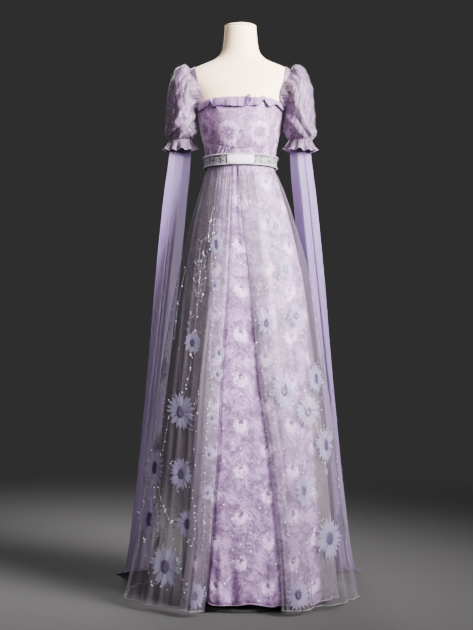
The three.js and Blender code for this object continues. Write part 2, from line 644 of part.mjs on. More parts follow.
function addZip() {
  const rows = zip.bands + 1;
  const grid = (distance) =>
    gridOf(rows, 2, (row, column) => {
      const z = lerp(zipFoot + 2, zip.top, row / zip.bands);
      return new THREE.Vector3(zipHalfWidth * (1 - 2 * column), zipLine(z, distance), z);
    });
  addMesh("zip_chain", wallBetween(grid(zip.wall), grid(0)), "metal");

  const seat = zipLine(slider.z, zip.wall) + seamGap + 0.4;
  const foot = Math.sqrt(slider.ring ** 2 - (slider.axisOut - slider.plate) ** 2);
  const side = new THREE.Shape();
  side.moveTo(0, -slider.halfHeight);
  side.lineTo(slider.plate, -slider.halfHeight);
  side.lineTo(slider.plate, -foot);
  const start = Math.atan2(-foot, slider.plate - slider.axisOut);
  side.absarc(slider.axisOut, 0, slider.ring, start, -start, false);
  side.lineTo(slider.plate, slider.halfHeight);
  side.lineTo(0, slider.halfHeight);
  side.closePath();
  const eye = new THREE.Path();
  eye.absarc(slider.axisOut, 0, slider.eye, 0, 2 * Math.PI, true);
  side.holes.push(eye);
  const sliderBody = new THREE.ExtrudeGeometry(side, {
    depth: slider.width,
    bevelEnabled: false,
    curveSegments: 10,
  });
  // The profile's first axis becomes +Y, its second +Z and its depth +X.
  const turn = new THREE.Matrix4().makeBasis(
    new THREE.Vector3(0, 1, 0),
    new THREE.Vector3(0, 0, 1),
    new THREE.Vector3(1, 0, 0),
  );
  sliderBody.applyMatrix4(turn).translate(-slider.width / 2, 0, 0);
  addMesh("zip_slider", sliderBody, "metal").position.set(0, seat, slider.z);

  const half = slider.width / 2 + pull.sideGap;
  const bar = pull.thickness / 2;
  const plate = new THREE.Shape();
  plate.moveTo(-half - pull.arm, bar);
  plate.lineTo(-half - pull.arm, -bar - pull.window - 2);
  plate.lineTo(-pull.tipRadius, -pull.length + pull.tipRadius);
  plate.absarc(0, -pull.length + pull.tipRadius, pull.tipRadius, Math.PI, 2 * Math.PI, false);
  plate.lineTo(half + pull.arm, -bar - pull.window - 2);
  plate.lineTo(half + pull.arm, bar);
  plate.closePath();
  const gap = new THREE.Path();
  gap.moveTo(-half, -bar);
  gap.lineTo(half, -bar);
  gap.lineTo(half, -bar - pull.window);
  gap.lineTo(-half, -bar - pull.window);
  gap.closePath();
  plate.holes.push(gap);
  const tab = new THREE.ExtrudeGeometry(plate, {
    depth: pull.thickness,
    bevelEnabled: false,
    curveSegments: 8,
  });
  // The outline's second axis becomes +Z and its depth -Y.
  tab.rotateX(Math.PI / 2).translate(0, pull.thickness / 2, 0);
  addMesh("zip_pull", tab, "metal").position.set(0, seat + slider.axisOut, slider.z);
}

addForm();
addStand();
addBodice();
addStraps();
addRuffle();
addBelt();
addSleeves();
addFrills();
addStreamers();
addSkirts();
addZip();

export default dress;
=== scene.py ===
import math

import bpy
import numpy as np
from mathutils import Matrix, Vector
from mathutils.bvhtree import BVHTree


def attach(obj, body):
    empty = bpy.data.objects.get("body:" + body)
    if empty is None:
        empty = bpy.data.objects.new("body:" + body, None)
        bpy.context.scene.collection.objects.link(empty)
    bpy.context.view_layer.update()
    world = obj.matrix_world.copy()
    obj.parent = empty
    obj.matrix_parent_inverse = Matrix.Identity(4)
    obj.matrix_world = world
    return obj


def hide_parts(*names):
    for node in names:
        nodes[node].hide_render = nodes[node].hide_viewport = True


# An evening dress on a limbless dress form. Lengths are millimetres until a mesh is made, and meshes are
# metres. Angles go round the body from the centre front (0) by the viewer's right (90) to the back (180).
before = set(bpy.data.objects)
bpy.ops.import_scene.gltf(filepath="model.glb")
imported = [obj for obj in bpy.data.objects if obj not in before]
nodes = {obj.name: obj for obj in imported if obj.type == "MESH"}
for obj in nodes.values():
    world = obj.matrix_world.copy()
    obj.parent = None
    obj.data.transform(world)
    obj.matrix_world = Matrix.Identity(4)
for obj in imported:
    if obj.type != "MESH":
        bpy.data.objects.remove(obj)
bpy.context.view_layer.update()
mm = 0.001
print("stage: frame loaded")

# camera, light and floor
view = {"place": (-0.0112, -3.5, 0.80), "lens": 71.43, "sensor": 36}
lights = [  # name, place, aims at, size, watts, spread in degrees, colour
    ("keyLight", (2.58, -2.12, 2.5), (0.13, -0.05, 1.6), 2.2, 144, 50, (1.0, 0.972, 0.955)),
    ("fillLight", (-1.1, -3.4, 2.1), (0, 0, 1.35), 2.2, 12, 70, (1.0, 0.955, 0.92)),
    ("rimLight", (-0.5, 2.9, 2.6), (0, 0, 1.2), 1.8, 22, 70, (1.0, 0.97, 0.97)),
]
room = {  # the floor keeps its own colour as far as clear, and has the studio's at faded, in metres
    "grey": (0.036, 0.0345, 0.0355), "floor": (0.125, 0.123, 0.126), "clear": 0.8, "faded": 3.0,
    "radius": 40, "below": 0.0008,
}


def aimAt(thing, target):
    thing.rotation_euler = (Vector(target) - thing.location).to_track_quat("-Z", "Y").to_euler()


camera = bpy.data.objects.new("camera", bpy.data.cameras.new("camera"))
camera.location = view["place"]
camera.rotation_euler = (math.radians(90), 0, 0)
camera.data.sensor_fit = "VERTICAL"
camera.data.sensor_height = view["sensor"]
camera.data.lens = view["lens"]
bpy.context.collection.objects.link(camera)
bpy.context.scene.camera = camera
for name, place, target, size, watts, spread, colour in lights:
    lamp = bpy.data.lights.new(name, "AREA")
    lamp.shape, lamp.size, lamp.energy, lamp.color = "DISK", size, watts, colour
    lamp.spread = math.radians(spread)
    holder = bpy.data.objects.new(name, lamp)
    holder.location = place
    aimAt(holder, target)
    bpy.context.collection.objects.link(holder)
world = bpy.data.worlds.new("studio")
world.use_nodes = True
world.node_tree.nodes["Background"].inputs["Color"].default_value = (*room["grey"], 1)
bpy.context.scene.world = world

# sizes of the body and the layers, as the solids have them
waistZ, waistLift = 1211, 4
underBust = {"front": 1255, "side": 1279}
necklineZ, underarmZ = 1385, 1360
zipFoot, halfOpening = 1110, 3.4
bust = {"z": 1310, "spread": 60, "rise": 17, "level": 40, "fade": 46}
belt = {"height": 31, "drop": 3, "plaqueHalfAngle": 20, "cordRadius": 1.7}

formSections = [  # z, half width, shift, front, back, roundness
    (870, 112, 0, 80, 90, 1), (882, 128, 0, 92, 102, 0.96), (950, 138, 0, 98, 114, 0.95),
    (1030, 124, 0, 92, 106, 0.95), (1110, 101, 0, 84, 90, 0.95), (1160, 92, 0, 83, 84, 0.95),
    (1216, 92, 0, 87, 85, 0.95), (1262, 98, 0, 91, 90, 0.94), (1310, 110, 0, 94, 96, 0.92),
    (1360, 119, 0, 92, 98, 0.9), (1400, 128, 0, 84, 95, 0.9), (1435, 142, 0, 72, 86, 0.9),
    (1462, 151, 0, 60, 74, 0.92), (1478, 147, 0, 54, 66, 0.95), (1492, 126, 0, 51, 60, 1),
    (1503, 98, 0, 49, 56, 1), (1514, 73, 0, 48, 53, 1), (1523, 62, 0, 48, 50, 1),
    (1534, 54, 0, 47, 48, 1), (1560, 48, 0, 45, 45, 1), (1603, 44, 0, 43, 43, 1),
]
overskirtSections = [
    (18, 318, 2, 200, 340, 1), (164, 290, 7, 192, 318, 1), (313, 270, 9, 182, 294, 1),
    (458, 252, 11, 172, 270, 1), (607, 230, 7, 162, 240, 1), (724, 214, 8, 153, 214, 1),
    (904, 184, 9, 137, 168, 1), (1072, 140, 6, 115, 124, 0.98), (1144, 117, 4, 104, 106, 0.96),
    (1190, 101, 1, 94.5, 93, 0.95), (1211, 95.6, 0, 90.6, 88.6, 0.95),
]
underskirtSections = [
    (32, 213, 53, 175, 236, 0.82), (164, 207, 49, 169, 220, 0.83), (313, 202, 42, 161, 204, 0.84),
    (458, 196, 33, 153, 188, 0.85), (607, 190, 21, 145, 172, 0.87), (724, 183, 14, 137, 158, 0.89),
    (904, 163, 9, 125, 136, 0.92), (1072, 129, 5, 106, 111, 0.95), (1144, 109, 3, 97, 98, 0.95),
    (1190, 97.5, 1, 91, 90, 0.95), (1211, 93.4, 0, 88.4, 86.4, 0.95),
]


def lerp(a, b, t):
    return a + (b - a) * t


def smooth(value, low, high):
    t = np.clip((value - low) / (high - low), 0, 1)
    return t * t * (3 - 2 * t)


def sind(angle):
    return np.sin(np.radians(angle))


def cosd(angle):
    return np.cos(np.radians(angle))


def sampler(table):  # a smooth curve through the rows, by their first column
    rows = np.array(sorted(table), float)
    z, values = rows[:, 0], rows[:, 1:]

    def at(height):
        h = np.clip(np.asarray(height, float), z[0], z[-1])
        high = np.clip(np.searchsorted(z, h, side="right"), 1, len(z) - 1)
        low = high - 1
        before = np.where(low > 0, low - 1, high)
        after = np.where(high < len(z) - 1, high + 1, low)
        half = (z[high] - z[low]) / 2
        pull = half / (z[low] - z[before])
        push = half / (z[after] - z[high])
        t = (h - z[low]) / (2 * half)
        weights = [
            (before, -pull * t**3 + 2 * pull * t**2 - pull * t),
            (low, (1 + pull) * t**3 + (-1.5 - 2 * pull) * t**2 + (-0.5 + pull) * t + 1),
            (high, (-1 - push) * t**3 + (1.5 + push) * t**2 + 0.5 * t),
            (after, push * t**3 - push * t**2),
        ]
        return sum(values[index] * weight[..., None] for index, weight in weights)

    return at


formAt = sampler(formSections)
overskirtAt = sampler(overskirtSections)
underskirtAt = sampler(underskirtSections)


def sectionPoint(at, angle, z, extra=0):
    angle, z = np.broadcast_arrays(np.asarray(angle, float), np.asarray(z, float))
    halfWidth, shift, front, back, roundness = np.moveaxis(at(z), -1, 0)
    side, ahead = sind(angle), cosd(angle)
    depth = np.where(ahead > 0, front, back)
    moved = shift * np.where(ahead > 0, 1, np.abs(side))
    x = moved + (halfWidth + extra) * np.sign(side) * np.abs(side) ** roundness
    y = -(depth + extra) * np.sign(ahead) * np.abs(ahead) ** roundness
    return np.stack([x, y, z], -1)


def formSurface(angle, z):
    point = sectionPoint(formAt, angle, z)
    beside = np.maximum(0, np.abs(point[..., 0]) - bust["level"]) / bust["fade"]
    above = (point[..., 2] - bust["z"]) / bust["spread"]
    facing = np.maximum(0, cosd(angle))
    point[..., 1] -= bust["rise"] * np.exp(-above * above - beside * beside) * np.minimum(1, 3 * facing)
    return point


def unit(vectors):
    return vectors / np.maximum(np.linalg.norm(vectors, axis=-1, keepdims=True), 1e-9)


def formPoint(angle, z, distance):
    around = formSurface(angle + 0.5, z) - formSurface(angle - 0.5, z)
    up = formSurface(angle, z + 0.5) - formSurface(angle, z - 0.5)
    return formSurface(angle, z) + unit(np.cross(around, up)) * np.asarray(distance)[..., None]


def throughRows(rows, s):  # a smooth curve through the rows, by their number
    rows = np.asarray(rows, float)
    first = np.clip(np.floor(s).astype(int), 0, len(rows) - 2)
    t = (s - first)[..., None]
    a, b, c, d = (rows[np.clip(first + k, 0, len(rows) - 1)] for k in (-1, 0, 1, 2))
    return b + 0.5 * t * (c - a + t * (2 * a - 5 * b + 4 * c - d + t * (3 * (b - c) + d - a)))


def waistLine(angle):
    return waistZ + waistLift * cosd(angle)


def underBustLine(angle):
    return lerp(underBust["side"], underBust["front"], np.maximum(0, cosd(angle)) ** 2)


def bodiceTop(angle):
    return lerp(underarmZ, necklineZ, smooth(np.abs(90 - np.abs(angle)), 0, 17))


# grids of points become cloth. Rows run up, and columns run anticlockwise seen from above
def gridNormals(points, closed=False):
    if closed:
        around = np.roll(points, -1, 1) - np.roll(points, 1, 1)
    else:
        around = np.gradient(points, axis=1)
    return unit(np.cross(around, np.gradient(points, axis=0)))


def lengths(points, axis):  # how far each point is along its row or column
    steps = np.linalg.norm(np.diff(points, axis=axis), axis=-1)
    return np.insert(np.cumsum(steps, axis=axis), 0, 0, axis=axis)


def clothUv(points, fromCentre=False):  # from the middle column, or from where the cloth crosses x = 0
    across = lengths(points, 1)
    start = across[:, points.shape[1] // 2]
    if fromCentre:
        start = np.array([np.interp(0, x, far) for x, far in zip(points[..., 0], across)])
    return np.stack([across - start[:, None], lengths(points, 0)], -1)


def allRound(points):  # the grid with its first column repeated at the end
    return np.concatenate([points, points[:, :1]], 1)


def corners(grid):  # the four corners of each cell of a grid
    return np.stack([grid[:-1, :-1], grid[:-1, 1:], grid[1:, 1:], grid[1:, :-1]], 2)


def cells(points, first=0, closed=False):  # faces of a grid whose points are numbered from first
    rows, columns = points.shape[:2]
    number = np.arange(rows * columns).reshape(rows, columns) + first
    return corners(allRound(number) if closed else number).reshape(-1, 4).tolist()


def newPiece(name, places, faces, uv=None):  # uv has a row for each corner of each face
    mesh = bpy.data.meshes.new(name)
    mesh.from_pydata((np.asarray(places).reshape(-1, 3) * mm).tolist(), [], faces)
    if uv is not None:
        layer = mesh.uv_layers.new(name="cloth")
        layer.data.foreach_set("uv", (uv * mm).ravel().astype(np.float32))
    mesh.shade_smooth()
    piece = bpy.data.objects.new(name, mesh)
    bpy.context.collection.objects.link(piece)
    return piece


def gridMesh(name, points, closed=False, uv=None, density=None):
    if uv is None:
        uv = clothUv(allRound(points) if closed else points)
    piece = newPiece(name, points, cells(points, closed=closed), corners(uv))
    if density is not None:
        attribute = piece.data.attributes.new("density", "FLOAT", "POINT")
        attribute.data.foreach_set("value", density.ravel().astype(np.float32))
    return piece


def applyAll(piece):
    bpy.ops.object.select_all(action="DESELECT")
    bpy.context.view_layer.objects.active = piece
    piece.select_set(True)
    for modifier in list(piece.modifiers):
        bpy.ops.object.modifier_apply(modifier=modifier.name)


def thicken(piece, thickness):  # the wall grows inwards, in millimetres
    wall = piece.modifiers.new("wall", "SOLIDIFY")
    wall.thickness, wall.offset, wall.use_even_offset = thickness * mm, -1, False
    applyAll(piece)


def finishPiece(piece, material, replaced=()):
    piece.data.materials.clear()
    piece.data.materials.append(material)
    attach(piece, "root")
    if replaced:
        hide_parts(*replaced)
    return piece


def declareSheet(piece, points):
    quads = np.cross(points[1:, 1:] - points[:-1, :-1], points[:-1, 1:] - points[1:, :-1])
    area = np.linalg.norm(quads, axis=-1).sum() / 2 * mm * mm
    width = lengths(points, 1)[:, -1].max() * mm
    length = lengths(points, 0)[-1].max() * mm
    flat = (round(width, 3), round(max(length, area / width), 3))
    area = min(area, 0.999 * flat[0] * flat[1])
    print(f"sheet {piece.name}: {flat[0]:.3f} x {flat[1]:.3f} m, {area:.4f} m2")


# Soft ridges and troughs along straight or bowed lines. Each row of the table has the start and end in the
# cloth's own millimetres, the width, the height (below 0 for a trough) and how far the line bows aside.
def creaseField(across, along, creases):
    height = np.zeros(np.broadcast(across, along).shape)
    for startA, startL, endA, endL, width, rise, bow in creases:
        da, dl = endA - startA, endL - startL
        size = math.hypot(da, dl)
        t = ((across - startA) * da + (along - startL) * dl) / size**2
        aside = ((along - startL) * da - (across - startA) * dl) / size - bow * 4 * t * (1 - t)
        ends = smooth(t, -0.08, 0.3) * (1 - smooth(t, 0.7, 1.08))
        height += rise * ends * np.exp(-((aside / width) ** 2))
    return height


# Gathers that leave a seam at uneven places and fade out at uneven distances from it.
def gathers(across, away, span, spacing, rise, reach, seed):
    rng = np.random.default_rng(seed)
    height = np.zeros(np.broadcast(across, away).shape)
    place, last = span
    while place < last:
        width = spacing * rng.uniform(0.22, 0.36)
        length = reach * rng.uniform(0.45, 1.2)
        lean = rng.uniform(-0.12, 0.12)
        ridge = np.exp(-((away / length) ** 2) - ((across - place - lean * away) / width) ** 2)
        height += rise * rng.uniform(0.6, 1.3) * ridge
        place += spacing * rng.uniform(0.7, 1.35)
    return height


def bulge(share, power):  # a rounded rise, 0 at both ends of the share
    return np.sin(np.clip(share, 0, 1) * math.pi) ** power


print("stage: shapes ready")


# materials
def addNode(tree, kind, inputs=None, **settings):
    made = tree.nodes.new(kind if kind.startswith("Node") else "ShaderNode" + kind)
    for key, value in settings.items():
        setattr(made, key, value)
    for socket, value in (inputs or {}).items():
        if isinstance(value, bpy.types.NodeSocket):
            tree.links.new(value, made.inputs[socket])
        else:
            made.inputs[socket].default_value = value
    return made


def calc(tree, operation, *values, clamp=False):
    return addNode(tree, "Math", dict(enumerate(values)), operation=operation, use_clamp=clamp).outputs[0]


def plus(tree, *values, clamp=False):
    return calc(tree, "ADD", *values, clamp=clamp)


def minus(tree, *values):
    return calc(tree, "SUBTRACT", *values)


def times(tree, *values, clamp=False):
    return calc(tree, "MULTIPLY", *values, clamp=clamp)


def timesPlus(tree, *values):  # the first times the second, plus the third
    return calc(tree, "MULTIPLY_ADD", *values)


def reachOf(tree, x, y):
    return calc(tree, "SQRT", plus(tree, calc(tree, "POWER", x, 2), calc(tree, "POWER", y, 2)))


def strongest(tree, masks):  # the largest of several masks, each times its strength
    weighted = [times(tree, mask, strength) for mask, strength in masks]
    largest = weighted[0]
    for mask in weighted[1:]:
        largest = calc(tree, "MAXIMUM", largest, mask)
    return largest


def ramp(tree, value, low, high, start=0.0, end=1.0):  # smooth step from low to high
    inputs = {0: value, 1: low, 2: high, 3: start, 4: end}
    return addNode(tree, "MapRange", inputs, interpolation_type="SMOOTHSTEP").outputs[0]


def mixColour(tree, amount, first, second, kind="MIX"):
    made = addNode(tree, "Mix", {0: amount, 6: first, 7: second}, data_type="RGBA", blend_type=kind)
    return made.outputs[2]


def noise(tree, vector, scale, detail=3.0, roughness=0.5, stretch=None):
    if stretch:
        vector = addNode(tree, "Mapping", {"Vector": vector, "Scale": stretch}).outputs[0]
    inputs = {"Vector": vector, "Scale": scale, "Detail": detail, "Roughness": roughness}
    return addNode(tree, "TexNoise", inputs).outputs["Fac"]


def pushAbout(tree, vector, scale, detail, amount):  # the vector moved by a noise, by up to half the amount
    drift = addNode(tree, "TexNoise", {"Vector": vector, "Scale": scale, "Detail": detail}).outputs["Color"]
    centred = addNode(tree, "VectorMath", {0: drift, 1: (0.5, 0.5, 0.5)}, operation="SUBTRACT").outputs[0]
    pushed = addNode(tree, "VectorMath", {0: centred, "Scale": amount}, operation="SCALE").outputs[0]
    return addNode(tree, "VectorMath", {0: vector, 1: pushed}, operation="ADD").outputs[0]


def newGroup(name, inputs, outputs):
    tree = bpy.data.node_groups.new(name, "ShaderNodeTree")
    for label, value in inputs.items():
        kind = "NodeSocketVector" if value is None else "NodeSocketFloat"
        socket = tree.interface.new_socket(label, in_out="INPUT", socket_type=kind)
        if value is not None:
            socket.default_value = value
    for label in outputs:
        tree.interface.new_socket(label, in_out="OUTPUT", socket_type="NodeSocketFloat")
    return tree, tree.nodes.new("NodeGroupInput").outputs, tree.nodes.new("NodeGroupOutput").inputs


def useGroup(tree, group, vector, **values):
    made = addNode(tree, "Group", node_tree=group)
    tree.links.new(vector, made.inputs["Vector"])
    for label, value in values.items():
        made.inputs[label].default_value = value
    return made.outputs


def makeWeave():  # crossing threads, with slubs and a slow change of tone
    inputs = {"Vector": None, "Threads": 1500.0, "Slub": 0.4}
    tree, given, result = newGroup("weave", inputs, ["Height", "Tone"])
    parts = addNode(tree, "SeparateXYZ", {0: given["Vector"]}).outputs
    turns = times(tree, given["Threads"], math.tau)
    warp = calc(tree, "SINE", times(tree, parts[0], turns))
    weft = calc(tree, "SINE", times(tree, parts[1], turns))
    threads = timesPlus(tree, times(tree, warp, weft), 0.5, 0.5)
    along = noise(tree, given["Vector"], 60, 2, stretch=(9, 0.6, 1))
    across = noise(tree, given["Vector"], 60, 2, stretch=(0.6, 9, 1))
    slub = plus(tree, along, across)
    tree.links.new(timesPlus(tree, slub, given["Slub"], threads), result["Height"])
    slow = noise(tree, given["Vector"], 14, 3)
    tree.links.new(timesPlus(tree, slub, 0.3, times(tree, slow, 0.7)), result["Tone"])
    return tree


def makeRoses():  # outlines of round flowers on uneven centres
    inputs = {"Vector": None, "Cell": 0.08, "Petals": 5.0, "Size": 0.4, "Ragged": 0.1}
    tree, given, result = newGroup("roses", inputs, ["Line"])
    scale = calc(tree, "DIVIDE", 1.0, given["Cell"])
    ragged = times(tree, given["Ragged"], given["Cell"])
    place = pushAbout(tree, given["Vector"], times(tree, scale, 2.2), 2.0, ragged)
    inputs = {"Vector": place, "Scale": scale, "Randomness": 0.7}
    cell = addNode(tree, "TexVoronoi", inputs, voronoi_dimensions="2D").outputs
    offset = addNode(tree, "VectorMath", {0: place, 1: cell["Position"]}, operation="SUBTRACT").outputs[0]
    x, y, _ = addNode(tree, "SeparateXYZ", {0: offset}).outputs
    reach = times(tree, reachOf(tree, x, y), scale)
    start = times(tree, addNode(tree, "SeparateColor", {0: cell["Color"]}).outputs[0], math.tau)
    turn = timesPlus(tree, calc(tree, "ARCTAN2", y, x), given["Petals"], start)
    wave = calc(tree, "ABSOLUTE", calc(tree, "COSINE", times(tree, turn, 0.5)))
    edge = times(tree, timesPlus(tree, wave, 0.3, 0.8), given["Size"])
    share = calc(tree, "DIVIDE", reach, edge)
    away = [calc(tree, "ABSOLUTE", minus(tree, share, ring)) for ring in (1.0, 0.62, 0.3)]
    tree.links.new(strongest(tree, [(ramp(tree, far, 0.13, 0.04), 1.0) for far in away]), result["Line"])
    return tree


def makeStrokes():  # short feathery strokes that curl, dense and bright in some patches and sparse in others
    tree, given, result = newGroup("strokes", {"Vector": None, "Scale": 140.0}, ["Light", "Dark"])
    cloth, scale = given["Vector"], given["Scale"]
    place = pushAbout(tree, cloth, times(tree, scale, 0.5), 1.0, calc(tree, "DIVIDE", 2.2, scale))
    ways = []
    for angle in (0.7, -0.75, 1.45):
        inputs = {"Vector": place, "Rotation": (0, 0, angle), "Scale": (1, 3.4, 1)}
        turned = addNode(tree, "Mapping", inputs, vector_type="TEXTURE").outputs[0]
        ways.append(noise(tree, turned, scale, 2.0, 0.6))
    share = ramp(tree, noise(tree, cloth, times(tree, scale, 0.3), 1.5), 0.46, 0.54)
    first = timesPlus(tree, share, minus(tree, ways[0], ways[1]), ways[1])
    both = timesPlus(tree, first, 0.7, times(tree, ways[2], 0.3))
    dense = ramp(tree, noise(tree, cloth, times(tree, scale, 0.2), 2.0), 0.4, 0.6)
    light = times(tree, ramp(tree, both, 0.51, 0.58), ramp(tree, dense, 0.0, 1.0, 0.3, 1.0))
    dark = times(tree, ramp(tree, both, 0.49, 0.42), ramp(tree, dense, 0.0, 1.0, 1.0, 0.35))
    tree.links.new(light, result["Light"])
    tree.links.new(dark, result["Dark"])
    return tree


def makeBlooms():  # in each cell a round heart, a ring of petals, and a ragged cluster open at the top
    inputs = {
        "Vector": None, "Width": 0.14, "Repeat": 0.109, "Size": 0.017, "Raise": 0.0, "Aside": 0.0,
        "Stagger": 0.5,
    }
    tree, given, result = newGroup("blooms", inputs, ["Heart", "Ring", "Cluster", "Hole"])
    place = pushAbout(tree, given["Vector"], 150.0, 2.5, times(tree, given["Size"], 1.2))
    across, up, _ = addNode(tree, "SeparateXYZ", {0: place}).outputs
    column = plus(tree, calc(tree, "DIVIDE", minus(tree, across, given["Aside"]), given["Width"]), 0.5)
    odd = calc(tree, "MODULO", calc(tree, "ABSOLUTE", calc(tree, "FLOOR", column)), 2.0)
    row = calc(tree, "DIVIDE", minus(tree, up, given["Raise"]), given["Repeat"])
    row = plus(tree, times(tree, odd, given["Stagger"]), row)
    x, y = (
        calc(tree, "DIVIDE", times(tree, minus(tree, calc(tree, "FRACT", cell), 0.5), pitch), given["Size"])
        for cell, pitch in ((column, given["Width"]), (row, given["Repeat"]))
    )
    reach, turn = reachOf(tree, x, y), calc(tree, "ARCTAN2", y, x)
    petals = plus(tree, reach, times(tree, calc(tree, "COSINE", times(tree, turn, 9)), 0.13))
    tree.links.new(ramp(tree, petals, 0.75, 0.45), result["Heart"])
    tree.links.new(ramp(tree, calc(tree, "ABSOLUTE", minus(tree, petals, 1.15)), 0.42, 0.12), result["Ring"])
    hole, near = reachOf(tree, x, minus(tree, y, 0.45)), ramp(tree, reach, 1.35, 0.8)
    tree.links.new(times(tree, ramp(tree, hole, 0.5, 0.3), near), result["Hole"])
    cleft = ramp(tree, plus(tree, calc(tree, "ABSOLUTE", x), times(tree, y, -0.6)), -0.35, 0.1)
    body = times(tree, times(tree, near, ramp(tree, hole, 0.28, 0.5)), cleft)
    tree.links.new(body, result["Cluster"])
    return tree


def makeSequins():  # a few bright discs scattered on the cloth
    inputs = {"Vector": None, "Scale": 45.0, "Share": 0.2, "Reach": 0.11}
    tree, given, result = newGroup("sequins", inputs, ["Spot"])
    inputs = {"Vector": given["Vector"], "Scale": given["Scale"], "Randomness": 1.0}
    cell = addNode(tree, "TexVoronoi", inputs, voronoi_dimensions="2D").outputs
    chosen = addNode(tree, "SeparateColor", {0: cell["Color"]}).outputs[0]
    some = calc(tree, "LESS_THAN", chosen, given["Share"])
    share = calc(tree, "DIVIDE", cell["Distance"], given["Reach"])
    tree.links.new(times(tree, ramp(tree, share, 1.0, 0.65), some), result["Spot"])
    return tree


weaveGroup = makeWeave()
roseGroup = makeRoses()
strokeGroup = makeStrokes()
bloomGroup = makeBlooms()
sequinGroup = makeSequins()


def newMaterial(name, **sockets):
    made = bpy.data.materials.new(name)
    made.use_nodes = True
    shader = made.node_tree.nodes["Principled BSDF"]
    for label, value in sockets.items():
        shader.inputs[label.replace("_", " ")].default_value = value
    return made, made.node_tree, shader


def bump(tree, shader, height, strength, distance):
    made = addNode(tree, "Bump", {"Height": height, "Strength": strength, "Distance": distance})
    tree.links.new(made.outputs[0], shader.inputs["Normal"])


def paint(tree, shader, colour):
    tree.links.new(colour, shader.inputs["Base Color"])


def clothSpace(tree):
    return addNode(tree, "UVMap", uv_map="cloth").outputs[0]


def linear(level):  # a colour level from 0 to 255, as light
    share = level / 255
    return share / 12.92 if share <= 0.04045 else ((share + 0.055) / 1.055) ** 2.4


def srgb(red, green, blue):
    return linear(red), linear(green), linear(blue), 1


def sideShadeMask(tree, left, right, slope):  # where the lace's flanks get painted shade: 0 on the front and the back and 1 on the sides, nearer in higher up
    x, _, z = addNode(tree, "SeparateXYZ", {0: addNode(tree, "TexCoord").outputs["Object"]}).outputs
    closer = times(tree, z, slope)
    toLeft = minus(tree, closer, plus(tree, x, left))
    toRight = minus(tree, timesPlus(tree, closer, 0.6, x), right)
    return ramp(tree, calc(tree, "MAXIMUM", toLeft, toRight), 0.0, 0.018)


def makeFigured(name, tones, scale, blooms, strength, sequins, roughness, paintedShadeSides=None):
    # cloth in four tones, dark to bright, with feathery strokes and a flower in each cell
    made, tree, shader = newMaterial(name, Sheen_Weight=0.3, Sheen_Roughness=0.4)
    place = clothSpace(tree)
    weave = useGroup(tree, weaveGroup, place, Threads=800.0, Slub=0.3)
    broad = useGroup(tree, strokeGroup, place, Scale=scale)
    fine = useGroup(tree, strokeGroup, place, Scale=scale * 1.8)
    flower = useGroup(tree, bloomGroup, place, **blooms)
    spots = useGroup(tree, sequinGroup, place, **sequins)["Spot"]
    dark, ground, light, bright = (srgb(*tone) for tone in tones)
    patches = ramp(tree, noise(tree, place, 24, 2.5), 0.34, 0.66, -strength["patches"], strength["patches"])
    slow = plus(tree, patches, times(tree, weave["Tone"], 0.4), clamp=True)
    shade = strongest(tree, [
        (broad["Dark"], strength["broad"]), (fine["Dark"], strength["fine"]),
        (flower["Heart"], strength["heart"]), (flower["Hole"], strength["cluster"]),
    ])
    glow = strongest(tree, [
        (broad["Light"], strength["broad"]), (fine["Light"], strength["fine"]),
        (flower["Ring"], strength["ring"]),
    ])
    broken = timesPlus(tree, fine["Dark"], -0.5, timesPlus(tree, broad["Dark"], -0.35, 1.0))
    cluster = times(tree, flower["Cluster"], broken, clamp=True)
    petals = times(tree, flower["Ring"], broken, clamp=True)
    colour = mixColour(tree, shade, mixColour(tree, slow, ground, light), dark)
    colour = mixColour(tree, glow, colour, light)
    colour = mixColour(tree, times(tree, petals, strength["ring"] * 0.26), colour, bright)
    colour = mixColour(tree, times(tree, cluster, strength["cluster"]), colour, bright)
    colour = mixColour(tree, spots, colour, srgb(255, 252, 255))
    # painted shade: the cloth's flanks are mixed towards a dark taupe, as if they turned from the light
    if paintedShadeSides:
        aside = times(tree, sideShadeMask(tree, *paintedShadeSides["place"]), 0.86)
        colour = mixColour(tree, aside, colour, srgb(*paintedShadeSides["tone"]))
    paint(tree, shader, colour)
    raised = timesPlus(tree, shade, -0.5, calc(tree, "MAXIMUM", glow, cluster))
    raised = timesPlus(tree, weave["Height"], 0.12, raised)
    bump(tree, shader, raised, strength["relief"], 0.0016)
    shine = timesPlus(tree, spots, -0.3, timesPlus(tree, glow, -0.16, roughness))
    tree.links.new(shine, shader.inputs["Roughness"])
    return made


def makeOrganza(name, thin, thick, sheer, tint):
    # the density attribute is 0 on a single flat layer and rises to 1 where layers and folds lie close
    made, tree, shader = newMaterial(name, Roughness=0.38, Sheen_Weight=0.4, Sheen_Roughness=0.35)
    place = clothSpace(tree)
    density = addNode(tree, "Attribute", attribute_name="density").outputs["Fac"]
    streaks = noise(tree, place, 30, 3, stretch=(6, 0.12, 1))
    weave = useGroup(tree, weaveGroup, place, Threads=1100.0, Slub=0.5)
    lines = times(tree, minus(tree, streaks, 0.5), 0.16)
    alpha = plus(tree, timesPlus(tree, density, thick - thin, thin), lines, clamp=True)
    tree.links.new(alpha, shader.inputs["Alpha"])
    close = ramp(tree, density, 0.1, 0.6)
    low, high = (mixColour(tree, close, srgb(*a), srgb(*b)) for a, b in zip(sheer, tint))
    colour = mixColour(tree, plus(tree, streaks, lines, clamp=True), low, high)
    layered = ramp(tree, density, 0.75, 1.0, 0.0, 0.85)
    paint(tree, shader, mixColour(tree, layered, colour, srgb(250, 240, 255)))
    bump(tree, shader, plus(tree, streaks, times(tree, weave["Height"], 0.1)), 0.25, 0.0012)
    return made


